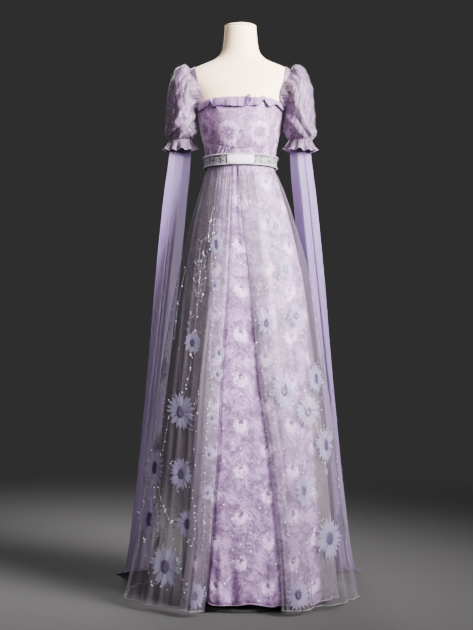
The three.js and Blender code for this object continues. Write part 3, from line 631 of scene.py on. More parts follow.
def makeChiffon(name, dark, light):
    made, tree, shader = newMaterial(
        name, Roughness=0.55, Sheen_Weight=0.4, Sheen_Roughness=0.35, Sheen_Tint=srgb(226, 210, 240),
        Subsurface_Weight=0.4, Subsurface_Scale=0.01, Subsurface_Radius=(1.0, 0.9, 1.05),
    )
    place = clothSpace(tree)
    weave = useGroup(tree, weaveGroup, place, Threads=1500.0, Slub=0.35)
    paint(tree, shader, mixColour(tree, weave["Tone"], srgb(*dark), srgb(*light)))
    bump(tree, shader, weave["Height"], 0.12, 0.0006)
    return made


def makeSilver(name, dark, light, roughness, cell, share, grain, reach):
    # shining cloth with a faint raised ornament: its cell, and the beads' share, grain and reach
    made, tree, shader = newMaterial(name, Roughness=roughness, Sheen_Weight=0.1, Specular_IOR_Level=0.3)
    place = clothSpace(tree)
    weave = useGroup(tree, weaveGroup, place, Threads=1200.0, Slub=0.2)
    scrolls = useGroup(tree, roseGroup, place, Cell=cell, Petals=4.0, Size=0.42, Ragged=0.3)["Line"]
    beads = useGroup(tree, sequinGroup, place, Scale=grain, Share=share, Reach=reach)["Spot"]
    broad = useGroup(tree, strokeGroup, place, Scale=260.0)
    woven = mixColour(tree, weave["Tone"], srgb(*dark), srgb(*light))
    tone = mixColour(tree, broad["Dark"], woven, srgb(*dark))
    tone = mixColour(tree, times(tree, scrolls, 0.4), tone, srgb(244, 240, 246))
    paint(tree, shader, mixColour(tree, beads, tone, srgb(255, 254, 255)))
    raised = timesPlus(tree, weave["Height"], 0.2, calc(tree, "MAXIMUM", scrolls, beads))
    bump(tree, shader, raised, 0.5, 0.0008)
    return made


def makePlain(name, dark, light, roughness, metallic=0.0, grain=180.0, depth=0.0003, **sockets):
    # an even finish with fine grain, on Object coordinates
    made, tree, shader = newMaterial(name, Metallic=metallic, **sockets)
    place = addNode(tree, "TexCoord").outputs["Object"]
    fine, slow = noise(tree, place, grain, 4), noise(tree, place, grain / 22, 3)
    tone = timesPlus(tree, slow, 0.7, times(tree, fine, 0.3))
    paint(tree, shader, mixColour(tree, tone, srgb(*dark), srgb(*light)))
    tree.links.new(timesPlus(tree, fine, 0.14, roughness - 0.07), shader.inputs["Roughness"])
    bump(tree, shader, fine, 0.3, depth)
    return made


brocade = makeFigured(
    "brocade", [(96, 69, 103), (122, 91, 131), (164, 128, 174), (222, 188, 234)], 88.0,
    {"Width": 0.09, "Repeat": 0.112, "Size": 0.022, "Raise": -0.016, "Aside": 0.055, "Stagger": 0.0},
    {"heart": 0.9, "ring": 1.0, "cluster": 0.0, "broad": 0.66, "fine": 0.5, "patches": 0.45, "relief": 0.55},
    {"Scale": 60.0, "Share": 0.06}, 0.5,
)
sleeveCloth = makeFigured(
    "sleeveCloth", [(62, 46, 66), (90, 66, 97), (128, 99, 137), (226, 198, 236)], 92.0,
    {"Width": 0.07, "Repeat": 0.08, "Size": 0.014, "Raise": 0.0},
    {"heart": 0.2, "ring": 0.3, "cluster": 0.0, "broad": 0.75, "fine": 0.5, "patches": 0.4, "relief": 0.7},
    {"Scale": 80.0, "Share": 0.16, "Reach": 0.13}, 0.4,
)
# the lace's flanks carry painted shade, a dark taupe
laceCloth = makeFigured(
    "lace", [(102, 76, 112), (124, 92, 138), (188, 149, 206), (238, 201, 253)], 84.0,
    {"Width": 0.074, "Repeat": 0.122, "Size": 0.0175, "Raise": 0.048},
    {"heart": 0.1, "ring": 0.2, "cluster": 0.88, "broad": 0.85, "fine": 0.5, "patches": 0.5, "relief": 0.7},
    {"Scale": 42.0, "Share": 0.14}, 0.58, {"place": (0.131, 0.208, 0.072), "tone": (84, 80, 80)},
)
# a darker copy of sleeveCloth: painted shade for the frills, which hang in the sleeves' shade
shadedFrillCloth = makeFigured(
    "shadedFrillCloth", [(46, 35, 49), (72, 55, 77), (108, 85, 114), (206, 180, 214)], 92.0,
    {"Width": 0.07, "Repeat": 0.08, "Size": 0.014, "Raise": 0.0},
    {"heart": 0.2, "ring": 0.3, "cluster": 0.0, "broad": 0.7, "fine": 0.5, "patches": 0.6, "relief": 0.7},
    {"Scale": 80.0, "Share": 0.12, "Reach": 0.13}, 0.45,
)
organzaTint = (158, 129, 180), (210, 182, 230)
organza = makeOrganza("organza", 0.22, 0.97, ((104, 94, 108), (144, 132, 150)), organzaTint)
sleeveVeil = makeOrganza("sleeveOrganza", 0.1, 0.4, ((120, 104, 124), (172, 152, 178)), organzaTint)
chiffon = makeChiffon("chiffon", (90, 67, 119), (108, 85, 139))
ruffleCloth = makeChiffon("ruffleChiffon", (112, 80, 126), (150, 116, 164))
beltCloth = makeSilver("beltCloth", (54, 49, 59), (90, 84, 96), 0.5, 0.014, 0.34, 170.0, 0.22)
beltSatin = makeSilver("beltSatin", (206, 196, 210), (248, 240, 250), 0.28, 0.012, 0.6, 190.0, 0.24)
silverCord = makePlain("silverCord", (150, 144, 154), (214, 208, 218), 0.3, 0.4, 900.0, 0.0002)
beadGlass = makePlain("beadGlass", (240, 236, 244), (254, 252, 255), 0.12, 0.0, 400.0, 0.0001)
petalThread = makePlain(
    "petalThread", (128, 120, 160), (168, 160, 196), 0.45, 0.0, 700.0, 0.0006, Sheen_Weight=0.5, Alpha=0.52
)
heartThread = makePlain("heartThread", (50, 40, 70), (86, 74, 108), 0.4, 0.1, 900.0, 0.0006)
sprigThread = makePlain(
    "sprigThread", (104, 94, 116), (146, 136, 158), 0.35, 0.0, 700.0, 0.0003, Sheen_Weight=0.4
)
# dark thread for the cord that paints the shadow line under the ruffle's edge
ruffleShadowThread = makePlain("ruffleShadowThread", (62, 42, 84), (92, 70, 116), 0.5, 0.0, 700.0, 0.0003)
hemCloth = makePlain("hemCloth", (98, 92, 100), (126, 118, 130), 0.4, 0.0, 600.0, 0.0003, Sheen_Weight=0.4)
laceCord = makePlain("laceCord", (138, 108, 148), (176, 146, 184), 0.5, 0.0, 600.0, 0.0003)
# dark thread for the cords that paint the shadow line beside the overskirt's folded edges
pipingThread = makePlain("pipingThread", (52, 36, 60), (78, 56, 86), 0.6, 0.0, 700.0, 0.0003)
formJersey = makePlain(
    "formJersey", (255, 218, 184), (255, 229, 197), 0.62, 0.0, 420.0, 0.0002, Sheen_Weight=0.2
)
standSteel = makePlain("standSteel", (140, 140, 144), (170, 170, 174), 0.34, 0.9, 60.0, 0.0001)
zipMetal = makePlain("zipMetal", (168, 166, 172), (200, 198, 204), 0.3, 0.9, 260.0, 0.0001)


def makeFloor():  # pale near the object, and fading into the colour of the studio far away
    made, tree, shader = newMaterial("paleFloor", Roughness=0.9, Specular_IOR_Level=0.0)
    place = addNode(tree, "TexCoord").outputs["Object"]
    far = addNode(tree, "VectorMath", {0: place}, operation="LENGTH").outputs["Value"]
    fade = ramp(tree, far, room["clear"], room["faded"])
    cloudy = noise(tree, place, 1.5, 3)
    pale = mixColour(tree, cloudy, (*(0.97 * c for c in room["floor"]), 1), (*room["floor"], 1))
    paint(tree, shader, mixColour(tree, fade, pale, (0, 0, 0, 1)))
    tree.links.new(mixColour(tree, fade, (0, 0, 0, 1), (*room["grey"], 1)), shader.inputs["Emission Color"])
    shader.inputs["Emission Strength"].default_value = 1.0
    return made


bpy.ops.mesh.primitive_circle_add(
    vertices=96, radius=room["radius"], fill_type="NGON", location=(0, 0, -room["below"])
)
floor = bpy.context.object
floor.name = "floor"
bpy.ops.object.transform_apply(location=True)
floor.data.materials.append(makeFloor())


def dressNode(name, material):  # a CAD node that keeps its shape and gets its finish
    nodes[name].material_slots[0].material = material


for name in ("form_pole", "form_base"):
    dressNode(name, standSteel)
for name in ("zip_chain", "zip_slider", "zip_pull"):
    dressNode(name, zipMetal)


print("stage: materials ready")


def mirrorX(points):  # the other side of the body, still facing out
    return (points * (-1, 1, 1))[:, ::-1]


def besideZip(radius):  # the angle where a layer at that radius ends beside the zip
    return 180 - math.degrees(halfOpening / radius)


def closedSkin(name, points):  # a closed wall of rings with both ends filled
    piece = gridMesh(name, points, closed=True)
    bpy.ops.object.select_all(action="DESELECT")
    bpy.context.view_layer.objects.active = piece
    piece.select_set(True)
    bpy.ops.object.mode_set(mode="EDIT")
    bpy.ops.mesh.select_all(action="SELECT")
    bpy.ops.mesh.fill_holes(sides=0)
    bpy.ops.mesh.normals_make_consistent(inside=False)
    bpy.ops.object.mode_set(mode="OBJECT")
    return piece


def tubeAlong(name, path, radius, sides=8, upright=(0, 0, 1)):
    along = unit(np.gradient(path, axis=0))
    aside = unit(np.cross(along, upright))
    other = np.cross(aside, along)
    turn = np.linspace(0, math.tau, sides, endpoint=False)
    size = np.broadcast_to(radius, len(path))[:, None, None]
    ring = np.cos(turn)[None, :, None] * aside[:, None] + np.sin(turn)[None, :, None] * other[:, None]
    return closedSkin(name, path[:, None] + size * ring)


# dress form
neckCap = {
    "low": 1603.3, "profile": [(43, 0), (44.5, 3), (43.6, 5), (40, 7.2), (30, 8.7), (15, 9.6), (4, 10)],
}


def makeForm():
    angle = np.linspace(0, 360, 100, endpoint=False)[None]
    z = np.concatenate([np.linspace(870, 884, 4), np.linspace(888, 1603, 130)])[:, None]
    torso = closedSkin("form_skin", formSurface(angle, z))
    finishPiece(torso, formJersey, ["form_torso"])
    radius, height = (np.array(neckCap["profile"]) + (0, neckCap["low"])).T[:, :, None]
    rings = np.broadcast_arrays(radius * sind(angle), -radius * cosd(angle), height)
    finishPiece(closedSkin("form_cap", np.stack(rings, -1)), formJersey, ["form_neck_cap"])
    print("stage: form made")


# bodice
bodice = {"gap": 1.35, "wall": 0.9, "seam": 0.12}
bodiceCreases = [  # angle and height of each end, width, rise, bow, all in millimetres on the cloth
    (-88, 118, -58, 96, 5, 1.2, 3), (-70, 122, 18, 118, 4, 0.7, -3), (-30, 112, 40, 116, 4, 0.8, 2),
    (92, 24, 60, 44, 8, 1.2, 4), (-96, 30, -74, 62, 8, 1.4, -4), (118, 60, 96, 84, 7, 1.2, 3),
    (-122, 70, -100, 92, 6, 1.3, -3), (-14, 8, -6, 52, 9, -1.6, 2), (8, 60, 0, 96, 10, -1.2, 1),
]
backCreases = [(-60, 70, 10, 96, 7, 1.3, 4), (-20, 30, 50, 40, 8, 1.0, -4)]
midriffCreases = [  # the ruching slants outwards and down at the sides
    (side * a, 66, side * (a + lean), 10, width, rise, side * 3)
    for side, shift in ((1, 0), (-1, 3))
    for a, lean, width, rise in (
        (28 + shift, 16, 2.6, 1.5), (38, 20, 3.0, 1.8), (49 + shift, 22, 2.6, 1.7), (60, 25, 3.4, 2.0),
        (70 + shift, 27, 2.4, 1.4), (80, 30, 3.0, 1.9), (92 + shift, 28, 3.2, 1.9), (104, 30, 2.6, 1.5),
        (117 + shift, 28, 3.2, 1.8), (130, 26, 2.8, 1.6),
    )
]


def wallGrid(start, end, low, high, columns, rows, distance):
    angle = np.linspace(start, end, columns)[None] * np.ones((rows, 1))
    share = np.linspace(0, 1, rows)[:, None]
    return formPoint(angle, lerp(low(angle), high(angle), share), np.full((rows, columns), distance))


def relieved(points, relief, closed=False):
    uv = clothUv(points)
    height = relief(uv[..., 0], uv[..., 1])
    return points + gridNormals(points, closed) * height[..., None]


def addPanel(name, points, material, node):
    piece = gridMesh(name, points)
    thicken(piece, bodice["wall"])
    finishPiece(piece, material, [node])
    declareSheet(piece, points)


def makeBodice():
    distance, start = bodice["gap"] + bodice["wall"], 90 + bodice["seam"]
    low = lambda angle: underBustLine(angle) + 0.3
    stripLow = lambda angle: waistLine(angle) + 0.6
    stripHigh = lambda angle: underBustLine(angle) - 0.2

    def frontRelief(across, along):
        fromSeam = gathers(across, along, (-150, 150), spacing=15, rise=1.3, reach=24, seed=3)
        fromTop = gathers(across, 126 - along, (-120, 120), spacing=17, rise=1.2, reach=20, seed=5)
        roll = 0.7 * np.exp(-((along / 2.5) ** 2))
        return creaseField(across, along, bodiceCreases) + fromSeam * smooth(along, 0, 6) + fromTop + roll

    def stripRelief(across, along):
        ruching = gathers(across, along, (-150, 150), spacing=11, rise=0.8, reach=60, seed=8)
        return creaseField(across, along, midriffCreases) + ruching

    front = wallGrid(bodice["seam"] - 90, 90 - bodice["seam"], low, bodiceTop, 150, 46, distance)
    addPanel("bodiceFront", relieved(front, frontRelief), brocade, "bodice_front")
    strip = wallGrid(bodice["seam"] - 90, 90 - bodice["seam"], stripLow, stripHigh, 220, 24, distance - 0.3)
    addPanel("midriffFront", relieved(strip, stripRelief), brocade, "midriff_front")

    for side, seed in (("right", 11), ("left", 23)):
        def backRelief(across, along):
            fromSeam = gathers(across, along, (-90, 90), spacing=16, rise=1.1, reach=26, seed=seed)
            return fromSeam * smooth(along, 0, 6) + creaseField(across, along, backCreases)

        def backRuching(across, along):
            return gathers(across, along - 20, (-90, 90), spacing=9, rise=1.5, reach=60, seed=seed + 2)

        back = wallGrid(start, besideZip(97), low, bodiceTop, 90, 44, distance)
        strip = wallGrid(start, besideZip(97), stripLow, stripHigh, 100, 24, distance - 0.3)
        for part, points, relief in (("bodice", back, backRelief), ("midriff", strip, backRuching)):
            made = relieved(points, relief)
            made = mirrorX(made) if side == "left" else made
            addPanel(part + "Back" + side.title(), made, brocade, f"{part}_back_{side}")
    print("stage: bodice made")


# shoulder straps
strap = {"baseInner": 107, "baseOuter": 118, "peakInner": 1492, "peakOuter": 1482}


def makeStraps():
    across = np.linspace(1, 0, 14)[:, None]
    along = np.linspace(0, 1, 90)[None]
    peak = lerp(strap["peakInner"], strap["peakOuter"], across)
    lift = np.sin(math.pi * along)
    z = lerp(necklineZ + 0.6, peak, lift)
    wide = lerp(lerp(strap["baseInner"], strap["baseOuter"], across), formAt(peak)[..., 0], lift)
    halfWidth, roundness = formAt(z)[..., 0], formAt(z)[..., 4]
    angle = np.degrees(np.arcsin(np.minimum(1, (wide / halfWidth) ** (1 / roundness))))
    angle = np.where(along < 0.5, angle, 180 - angle)

    def relief(a, l):
        edge = 0.5 * np.exp(-(((l - 1) / 2) ** 2))
        return edge + gathers(a, l, (-130, 130), spacing=12, rise=0.5, reach=14, seed=4)

    points = relieved(formPoint(angle, z, np.full(angle.shape, bodice["gap"] + 1.0)), relief)
    for side, made in (("right", points), ("left", mirrorX(points))):
        addPanel("strap" + side.title(), made, sleeveCloth, "strap_" + side)
    print("stage: straps made")


# neckline ruffle: stations along the frill, left to right. x, top, bottom, how far the top and the
# bottom stand off the form. Where x turns back, the frill is folded over itself.
ruffleStations = [
    (-113, 1382, 1364, 4, 6), (-106, 1385, 1364, 5, 8), (-99, 1388, 1366, 6, 9), (-91, 1391, 1369, 6, 9),
    (-85, 1389, 1372, 7, 11), (-79, 1392, 1384, 7, 12), (-74, 1390, 1374, 4, 7),
    (-76, 1392, 1367, 3.4, 4.6), (-68, 1394, 1366, 6, 10), (-58, 1392, 1367, 8, 12),
    (-48, 1393, 1368, 8, 13), (-41, 1391, 1376, 8, 12), (-44, 1394, 1384, 5, 8), (-50, 1393, 1378, 4, 6),
    (-44, 1393, 1367, 3.6, 4.8), (-34, 1395, 1366, 6, 10), (-24, 1393, 1365, 7, 11),
    (-14, 1395, 1364, 6, 9), (-4, 1393, 1364, 7, 11), (6, 1395, 1363, 6, 9), (14, 1394, 1366, 8, 13),
    (18, 1397, 1380, 10, 16), (26, 1399, 1386, 11, 16), (24, 1394, 1376, 4, 6), (18, 1392, 1369, 3.4, 4.4),
    (30, 1393, 1368, 3.6, 4.8), (38, 1394, 1367, 6, 10), (45, 1392, 1366, 8, 13), (53, 1395, 1376, 7, 11),
    (60, 1399, 1386, 6, 10), (66, 1394, 1376, 7, 11), (72, 1392, 1368, 8, 12), (80, 1393, 1371, 7, 11),
    (90, 1390, 1377, 7, 11), (98, 1388, 1374, 7, 10), (104, 1386, 1369, 6, 9), (109, 1383, 1366, 5, 7),
    (113, 1381, 1364, 4, 6),
]


def frontPoint(x, z, distance):  # the point of the form's front at x, moved out
    halfWidth, roundness = formAt(z)[..., 0], formAt(z)[..., 4]
    angle = np.degrees(np.arcsin(np.clip(np.abs(x) / halfWidth, 0, 0.995) ** (1 / roundness))) * np.sign(x)
    return formPoint(angle, z, distance)


def ruffleFlutes(across, along):
    wave = np.sin(across / 1.9 + 2.2 * np.sin(across / 17))
    return 0.55 * wave * (0.35 + 0.65 * np.abs(along / 28 - 0.45))


def makeRuffle():
    s = np.linspace(0, len(ruffleStations) - 1, 430)[None]
    x, top, bottom, outTop, outBottom = np.moveaxis(throughRows(ruffleStations, s), -1, 0)
    share = np.linspace(0, 1, 18)[:, None]
    out = lerp(outBottom, outTop, share**0.8) + np.sin(math.pi * share) * 1.6
    points = frontPoint(x * np.ones_like(share), lerp(bottom, top, share), out)
    points = relieved(points, ruffleFlutes)
    piece = gridMesh("necklineRuffle", points)
    thicken(piece, 0.7)
    finishPiece(piece, ruffleCloth, ["neckline_ruffle"])
    # a dark cord along the ruffle's lower edge paints the shadow line under it
    edging = tubeAlong("ruffleShadowLine", points[0] + (0, 0, 0.2), 1.5, 6, upright=(0, -1, 0.2))
    finishPiece(edging, ruffleShadowThread)
    declareSheet(piece, points)
    print("stage: ruffle made")


# sleeves. A section's row has the middle of its outer side, the middle of its inner side, half its
# depth, and the height of its gathers
sleeveSections = [
    (158, 1499, 122, 1351, 61, 2.4), (184, 1482, 119, 1340, 70, 2.2), (198, 1437, 118, 1328, 75, 1.6),
    (204, 1386, 119, 1317, 76, 1.6), (211, 1328, 122, 1305, 70, 2.5), (209, 1302, 129, 1295, 54, 2.6),
    (201, 1289, 135.5, 1289, 33, 0.8),
]
armhole = {"z": 1424, "halfHeight": 61, "halfAngle": 39, "clear": 4.0}
sleeve = {  # a section is step long and a degree is wide across, in millimetres
    "columns": 168, "rows": 78, "step": 28, "wide": 1.1, "wall": 0.9, "slack": 2.2, "depth": 0.95,
    "crumple": 1.0,
}
veil = {"columns": 120, "rows": 56, "swell": 1.6, "clear": 1.2}
# creases run from (turn, section) to (turn, section): turn 0 faces front and 90 out, section 0 is the head
sleeveCreases = [  # start turn, start section, end turn, end section, width, rise, bow
    (52, -0.9, 30, 1.2, 5, -4.5, 6), (66, -0.9, 48, 1.0, 6, 4.0, 5), (34, -0.9, 8, 1.1, 5, -3.6, 5),
    (22, -0.9, -4, 1.6, 7, 4.0, 4), (6, -0.8, -14, 2.8, 8, 5.0, 5), (-22, -0.2, -6, 3.0, 6, -3.4, 6),
    (-74, 0.3, -6, 5.7, 7, -7.5, 8), (-58, 0.6, 8, 5.6, 8, 6.0, 8), (-22, 2.6, 50, 5.7, 7, -6.5, 7),
    (-4, 2.2, 62, 5.5, 8, 5.5, 8), (26, 2.9, 58, 4.6, 5, -4.0, 5), (80, 1.4, 74, 4.2, 9, 4.0, 6),
    (110, 0.4, 126, 3.6, 9, 4.5, -6), (142, -0.6, 160, 3.2, 8, -4.5, 6), (170, 0.2, 140, 5.5, 9, 5.5, -8),
    (196, 0.4, 176, 5.6, 8, -5.5, 6), (222, -0.4, 214, 4.8, 9, 5.0, 6), (246, 0.6, 236, 5.6, 8, -4.5, 5),
    (42, 3.5, 138, 3.9, 9, -5.0, 5), (44, 4.6, 140, 4.9, 10, 3.5, 3), (-84, 2.4, -40, 5.8, 6, 4.0, 4),
    (98, 3.6, 84, 5.8, 6, -4.5, 3), (124, 4.2, 112, 5.9, 5, 3.5, 2),
]


def armholePoint(turn):
    angle = 90 - armhole["halfAngle"] * cosd(turn)
    z = armhole["z"] + armhole["halfHeight"] * sind(turn)
    return formPoint(angle, z, np.full(turn.shape, armhole["clear"]))


def sleeveGrid(turn, s):  # s is 0 at the head's first section, -1 at the armhole and 6 at the cuff
    rings = [armholePoint(turn)]
    for outerX, outerZ, innerX, innerZ, depth, ripple in sleeveSections:
        outer, inner = np.array([outerX, 0, outerZ]), np.array([innerX, 0, innerZ])
        middle, reach = (outer + inner) / 2, (outer - inner) / 2
        swell = 1 + ripple * cosd(5 * turn) / np.linalg.norm(reach)
        ahead = (cosd(turn) * swell)[:, None] * np.array([0, -depth, 0])
        rings.append(middle + (sind(turn) * swell)[:, None] * reach + ahead)
    flat = np.stack(rings).reshape(len(rings), -1)
    return throughRows(flat, s + 1).reshape(len(s), len(turn), 3)


def crumple(across, along, seed):  # small crisp folds that cross each other
    rng = np.random.default_rng(seed)
    height = np.zeros(across.shape)
    for _ in range(9):
        angle = rng.uniform(0.35, 1.2) * rng.choice((-1, 1))
        length, phase = rng.uniform(15, 32), rng.uniform(0, 6)
        sway = 5 * np.sin(along / 23 + phase) + 4 * np.sin(across / 31)
        swing = across * math.cos(angle) + along * math.sin(angle) + sway
        height += (1 - np.abs(np.sin(math.pi * swing / length + phase)) * 2) * rng.uniform(0.25, 0.5)
    return height


def sleeveRelief(turn, s, seed, share=1.0):
    step, wide = sleeve["step"], sleeve["wide"]
    across = ((turn + 90) % 360 - 90)[None] * wide
    across, along = np.broadcast_arrays(across, (s * step)[:, None])
    rows = [
        (a * wide, b * step, c * wide, d * step, width, rise * share, bow)
        for a, b, c, d, width, rise, bow in sleeveCreases
    ]
    rows += [(a + 360 * wide, b, c + 360 * wide, *others) for a, b, c, *others in rows]
    height = sleeve["depth"] * creaseField(across, along, rows)
    height += sleeve["crumple"] * share * crumple(across, along, seed)
    seams = (along + step, 3.6, 42, seed), (6 * step - along, 3.4, 30, seed + 1)  # armhole and cuff
    for away, rise, reach, start in seams:
        height += gathers(across, away, (-99, 297), spacing=9, rise=rise * share, reach=reach, seed=start)
    shown = smooth(s, -1.02, -0.6) * (1 - smooth(s, 5.6, 6.0) * 0.75)
    return (height - sleeve["slack"]) * shown[:, None]


def makeSleeves():
    turn = np.linspace(-90, 270, sleeve["columns"], endpoint=False)
    s = np.linspace(6, -1, sleeve["rows"])
    veilTurn = np.linspace(-90, 270, veil["columns"], endpoint=False)
    veilS = np.linspace(5.9, -0.9, veil["rows"])
    swell = veil["swell"] * bulge((veilS + 0.9) / 6.8, 0.5) + veil["clear"]
    for side, seed in (("right", 41), ("left", 57)):
        label = side.title()
        points = sleeveGrid(turn, s)
        points += gridNormals(points, True) * sleeveRelief(turn, s, seed)[..., None]
        cover = sleeveGrid(veilTurn, veilS)
        lift = swell[:, None] + sleeveRelief(veilTurn, veilS, seed, 0.75)
        cover += gridNormals(cover, True) * lift[..., None]
        if side == "left":
            points, cover = mirrorX(points), mirrorX(cover)
        piece = gridMesh("sleeve" + label, points, closed=True)
        thicken(piece, sleeve["wall"])
        finishPiece(piece, sleeveCloth, ["sleeve_" + side])
        declareSheet(piece, allRound(points))
        piece = gridMesh("sleeveVeil" + label, cover, closed=True, density=np.zeros(cover.shape[:2]))
        finishPiece(piece, sleeveVeil)
        declareSheet(piece, allRound(cover))
    print("stage: sleeves made")


# cuff frills
cuff = {"x": 168, "z": 1290, "radius": 32}
frill = {
    "rise": 2.2, "drop": 34, "flare": 8,
    "waves": [(8, 12), (52, 7), (96, 12), (146, 9), (190, 12), (228, 8), (262, 12), (296, 7), (330, 11)],
}


def makeFrills():
    turn = np.linspace(0, 360, 236, endpoint=False)[None]
    down = np.linspace(1, 0, 17)[:, None]
    near = lambda at, width: np.exp(-((((turn - at + 180) % 360 - 180) / width) ** 2))
    flutes = sum(rise * (near(at, 13) - 0.55 * near(at + 22, 11)) for at, rise in frill["waves"])
    wave = flutes * down**1.3
    pinch = 0.9 * np.cos(np.radians(turn * 31)) * np.exp(-down * 4)
    radius = cuff["radius"] - 0.6 + frill["flare"] * down + wave + pinch
    z = cuff["z"] + frill["rise"] - frill["drop"] * down + 0.5 * wave * down + 0 * turn
    points = np.stack([cuff["x"] + radius * cosd(turn), radius * sind(turn), z], -1)
    for side, made in (("right", points), ("left", mirrorX(points))):
        piece = gridMesh("cuffFrill" + side.title(), made, closed=True)
        thicken(piece, 0.8)
        finishPiece(piece, shadedFrillCloth, ["cuff_frill_" + side])
        rim = np.concatenate([made[0], made[0, :2]])
        edging = finishPiece(tubeAlong("frillEdging" + side.title(), rim, 0.9, 6), laceCord)
        declareSheet(piece, allRound(made))
    print("stage: frills made")


# streamers: z, outer edge's x and y, inner edge's x and y, depth of the folds
streamerSections = [
    (1287, 197, 0, 139, 0, 0), (1253, 198, 0, 139, 0, 8), (1190, 206, 6, 143, 14, 10),
    (1130, 215, 16, 150, 34, 12), (968, 234, 48, 168, 84, 13), (786, 253, 90, 190, 142, 14),
    (640, 268, 130, 209, 190, 15), (500, 284, 170, 228, 232, 16), (371, 299, 210, 243, 270, 16),
    (223, 319, 260, 259, 318, 17), (90, 338, 306, 272, 362, 17), (22, 354, 336, 282, 388, 14),
    (2, 384, 372, 292, 420, 5),
]
streamer = {"columns": 54, "rows": 170, "inCuff": 29.3, "half": 45, "low": 1.4}
streamerCreases = [  # across from the inner edge, along from the floor
    (18, 60, 12, 900, 6, 2.4, 6), (34, 300, 30, 1200, 5, -2.2, -4), (58, 40, 50, 700, 7, 2.6, 5),
    (70, 500, 46, 1240, 5, 2.0, 5), (88, 20, 66, 560, 6, -2.4, 4), (100, 100, 74, 900, 5, 2.2, -5),
    (14, 880, 70, 884, 3, 0.8, 0),
]


def makeStreamers():
    s = np.linspace(len(streamerSections) - 1, 0, streamer["rows"])
    z, outerX, outerY, innerX, innerY, folds = throughRows(streamerSections, s).T[:, :, None]
    across = np.linspace(0, 1, streamer["columns"])[None]
    # one broad fold, whose two sides face different ways, and a fine one beside it
    ridge = 0.4 + 0.05 * np.sin(z / 230)
    beside = np.sqrt((across - ridge) ** 2 + 0.03**2)
    fine = 0.14 * np.exp(-(((across - ridge - 0.3) / 0.03) ** 2))
    wave = 2.5 * (0.45 - 1.9 * beside - fine)
    arc, radius = np.pi * (1 + across), streamer["inCuff"]
    top = np.stack([cuff["x"] + radius * np.cos(arc), radius * np.sin(arc), 0 * arc], -1)
    gatherIn = smooth(s, 0.75, 0.0)[:, None, None]
    for side, sway in (("right", -1), ("left", 1)):  # one fold comes forward and the other goes back
        y = lerp(innerY, outerY, across) + sway * folds * wave
        points = np.stack(np.broadcast_arrays(lerp(innerX, outerX, across), y, z), -1)
        points = lerp(points, top + points * (0, 0, 1), gatherIn)

        def relief(a, l):
            return sway * creaseField(a + streamer["half"], l, streamerCreases) * smooth(l, 20, 120)

        made = relieved(points + gridNormals(points) * 0.6, relief)
        made[..., 2] = np.maximum(made[..., 2], streamer["low"])
        made = mirrorX(made) if side == "left" else made
        piece = gridMesh("streamer" + side.title(), made)
        thicken(piece, 0.7)
        finishPiece(piece, chiffon, ["streamer_" + side])
        declareSheet(piece, made)
    print("stage: streamers made")


# belt
beltSizes = {"gap": 6.4, "wall": 2.0, "clear": 0.75, "columns": 200, "rows": 14, "pitch": 9, "strand": 0.95}


def beltBottom(angle):
    return waistLine(angle) - belt["drop"]


def beltTop(angle):
    return beltBottom(angle) + belt["height"]


def twistedCord(name, node, edge, side):  # two strands round each other, along one edge of the belt
    angle = np.linspace(-besideZip(96), besideZip(96), 800)
    radius, strand = belt["cordRadius"], beltSizes["strand"]
    out = beltSizes["gap"] + beltSizes["wall"] + beltSizes["clear"] + radius
    middle = formPoint(angle, edge(angle) + side * radius, np.full(len(angle), out))
    turn = math.tau * lengths(middle, 0) / beltSizes["pitch"]
    outward = unit(middle * (1, 1, 0))
    offset = outward * np.cos(turn)[:, None] + np.array([0, 0, 1]) * np.sin(turn)[:, None]
    for label, sign, replaced in (("A", 1, [node]), ("B", -1, [])):
        cord = tubeAlong(name + label, middle + sign * offset * (radius - strand), strand, 6)
        finishPiece(cord, silverCord, replaced)


def makeBelt():
    outside = beltSizes["gap"] + beltSizes["wall"]
    end, half = besideZip(96), belt["plaqueHalfAngle"]
    band = wallGrid(-end, end, beltBottom, beltTop, beltSizes["columns"], beltSizes["rows"], outside)
    crown = lambda a, l: 0.5 * bulge(l / belt["height"], 0.6) + 0.15 * np.cos(a / 3.1)
    made = relieved(band, crown)
    piece = gridMesh("beltBand", made)
    thicken(piece, beltSizes["wall"] - 0.3)
    finishPiece(piece, beltCloth, ["belt_band"])
    declareSheet(piece, made)
    inset = 2 * belt["cordRadius"] + 0.6
    low = lambda angle: beltBottom(angle) + inset
    high = lambda angle: beltTop(angle) - inset
    plaque = wallGrid(-half, half, low, high, 90, 30, outside + beltSizes["clear"] + 1.3)
    pillow = lambda a, l: 0.7 * bulge(l / 23.6, 0.5) * smooth(38 - np.abs(a), 0, 4)
    made = relieved(plaque, pillow)
    piece = gridMesh("beltPlaque", made)
    thicken(piece, 1.2)
    finishPiece(piece, beltSatin, ["belt_plaque"])
    declareSheet(piece, made)
    twistedCord("beltCordTop", "belt_cord_top", beltTop, -1)
    twistedCord("beltCordBottom", "belt_cord_bottom", beltBottom, 1)
    print("stage: belt made")


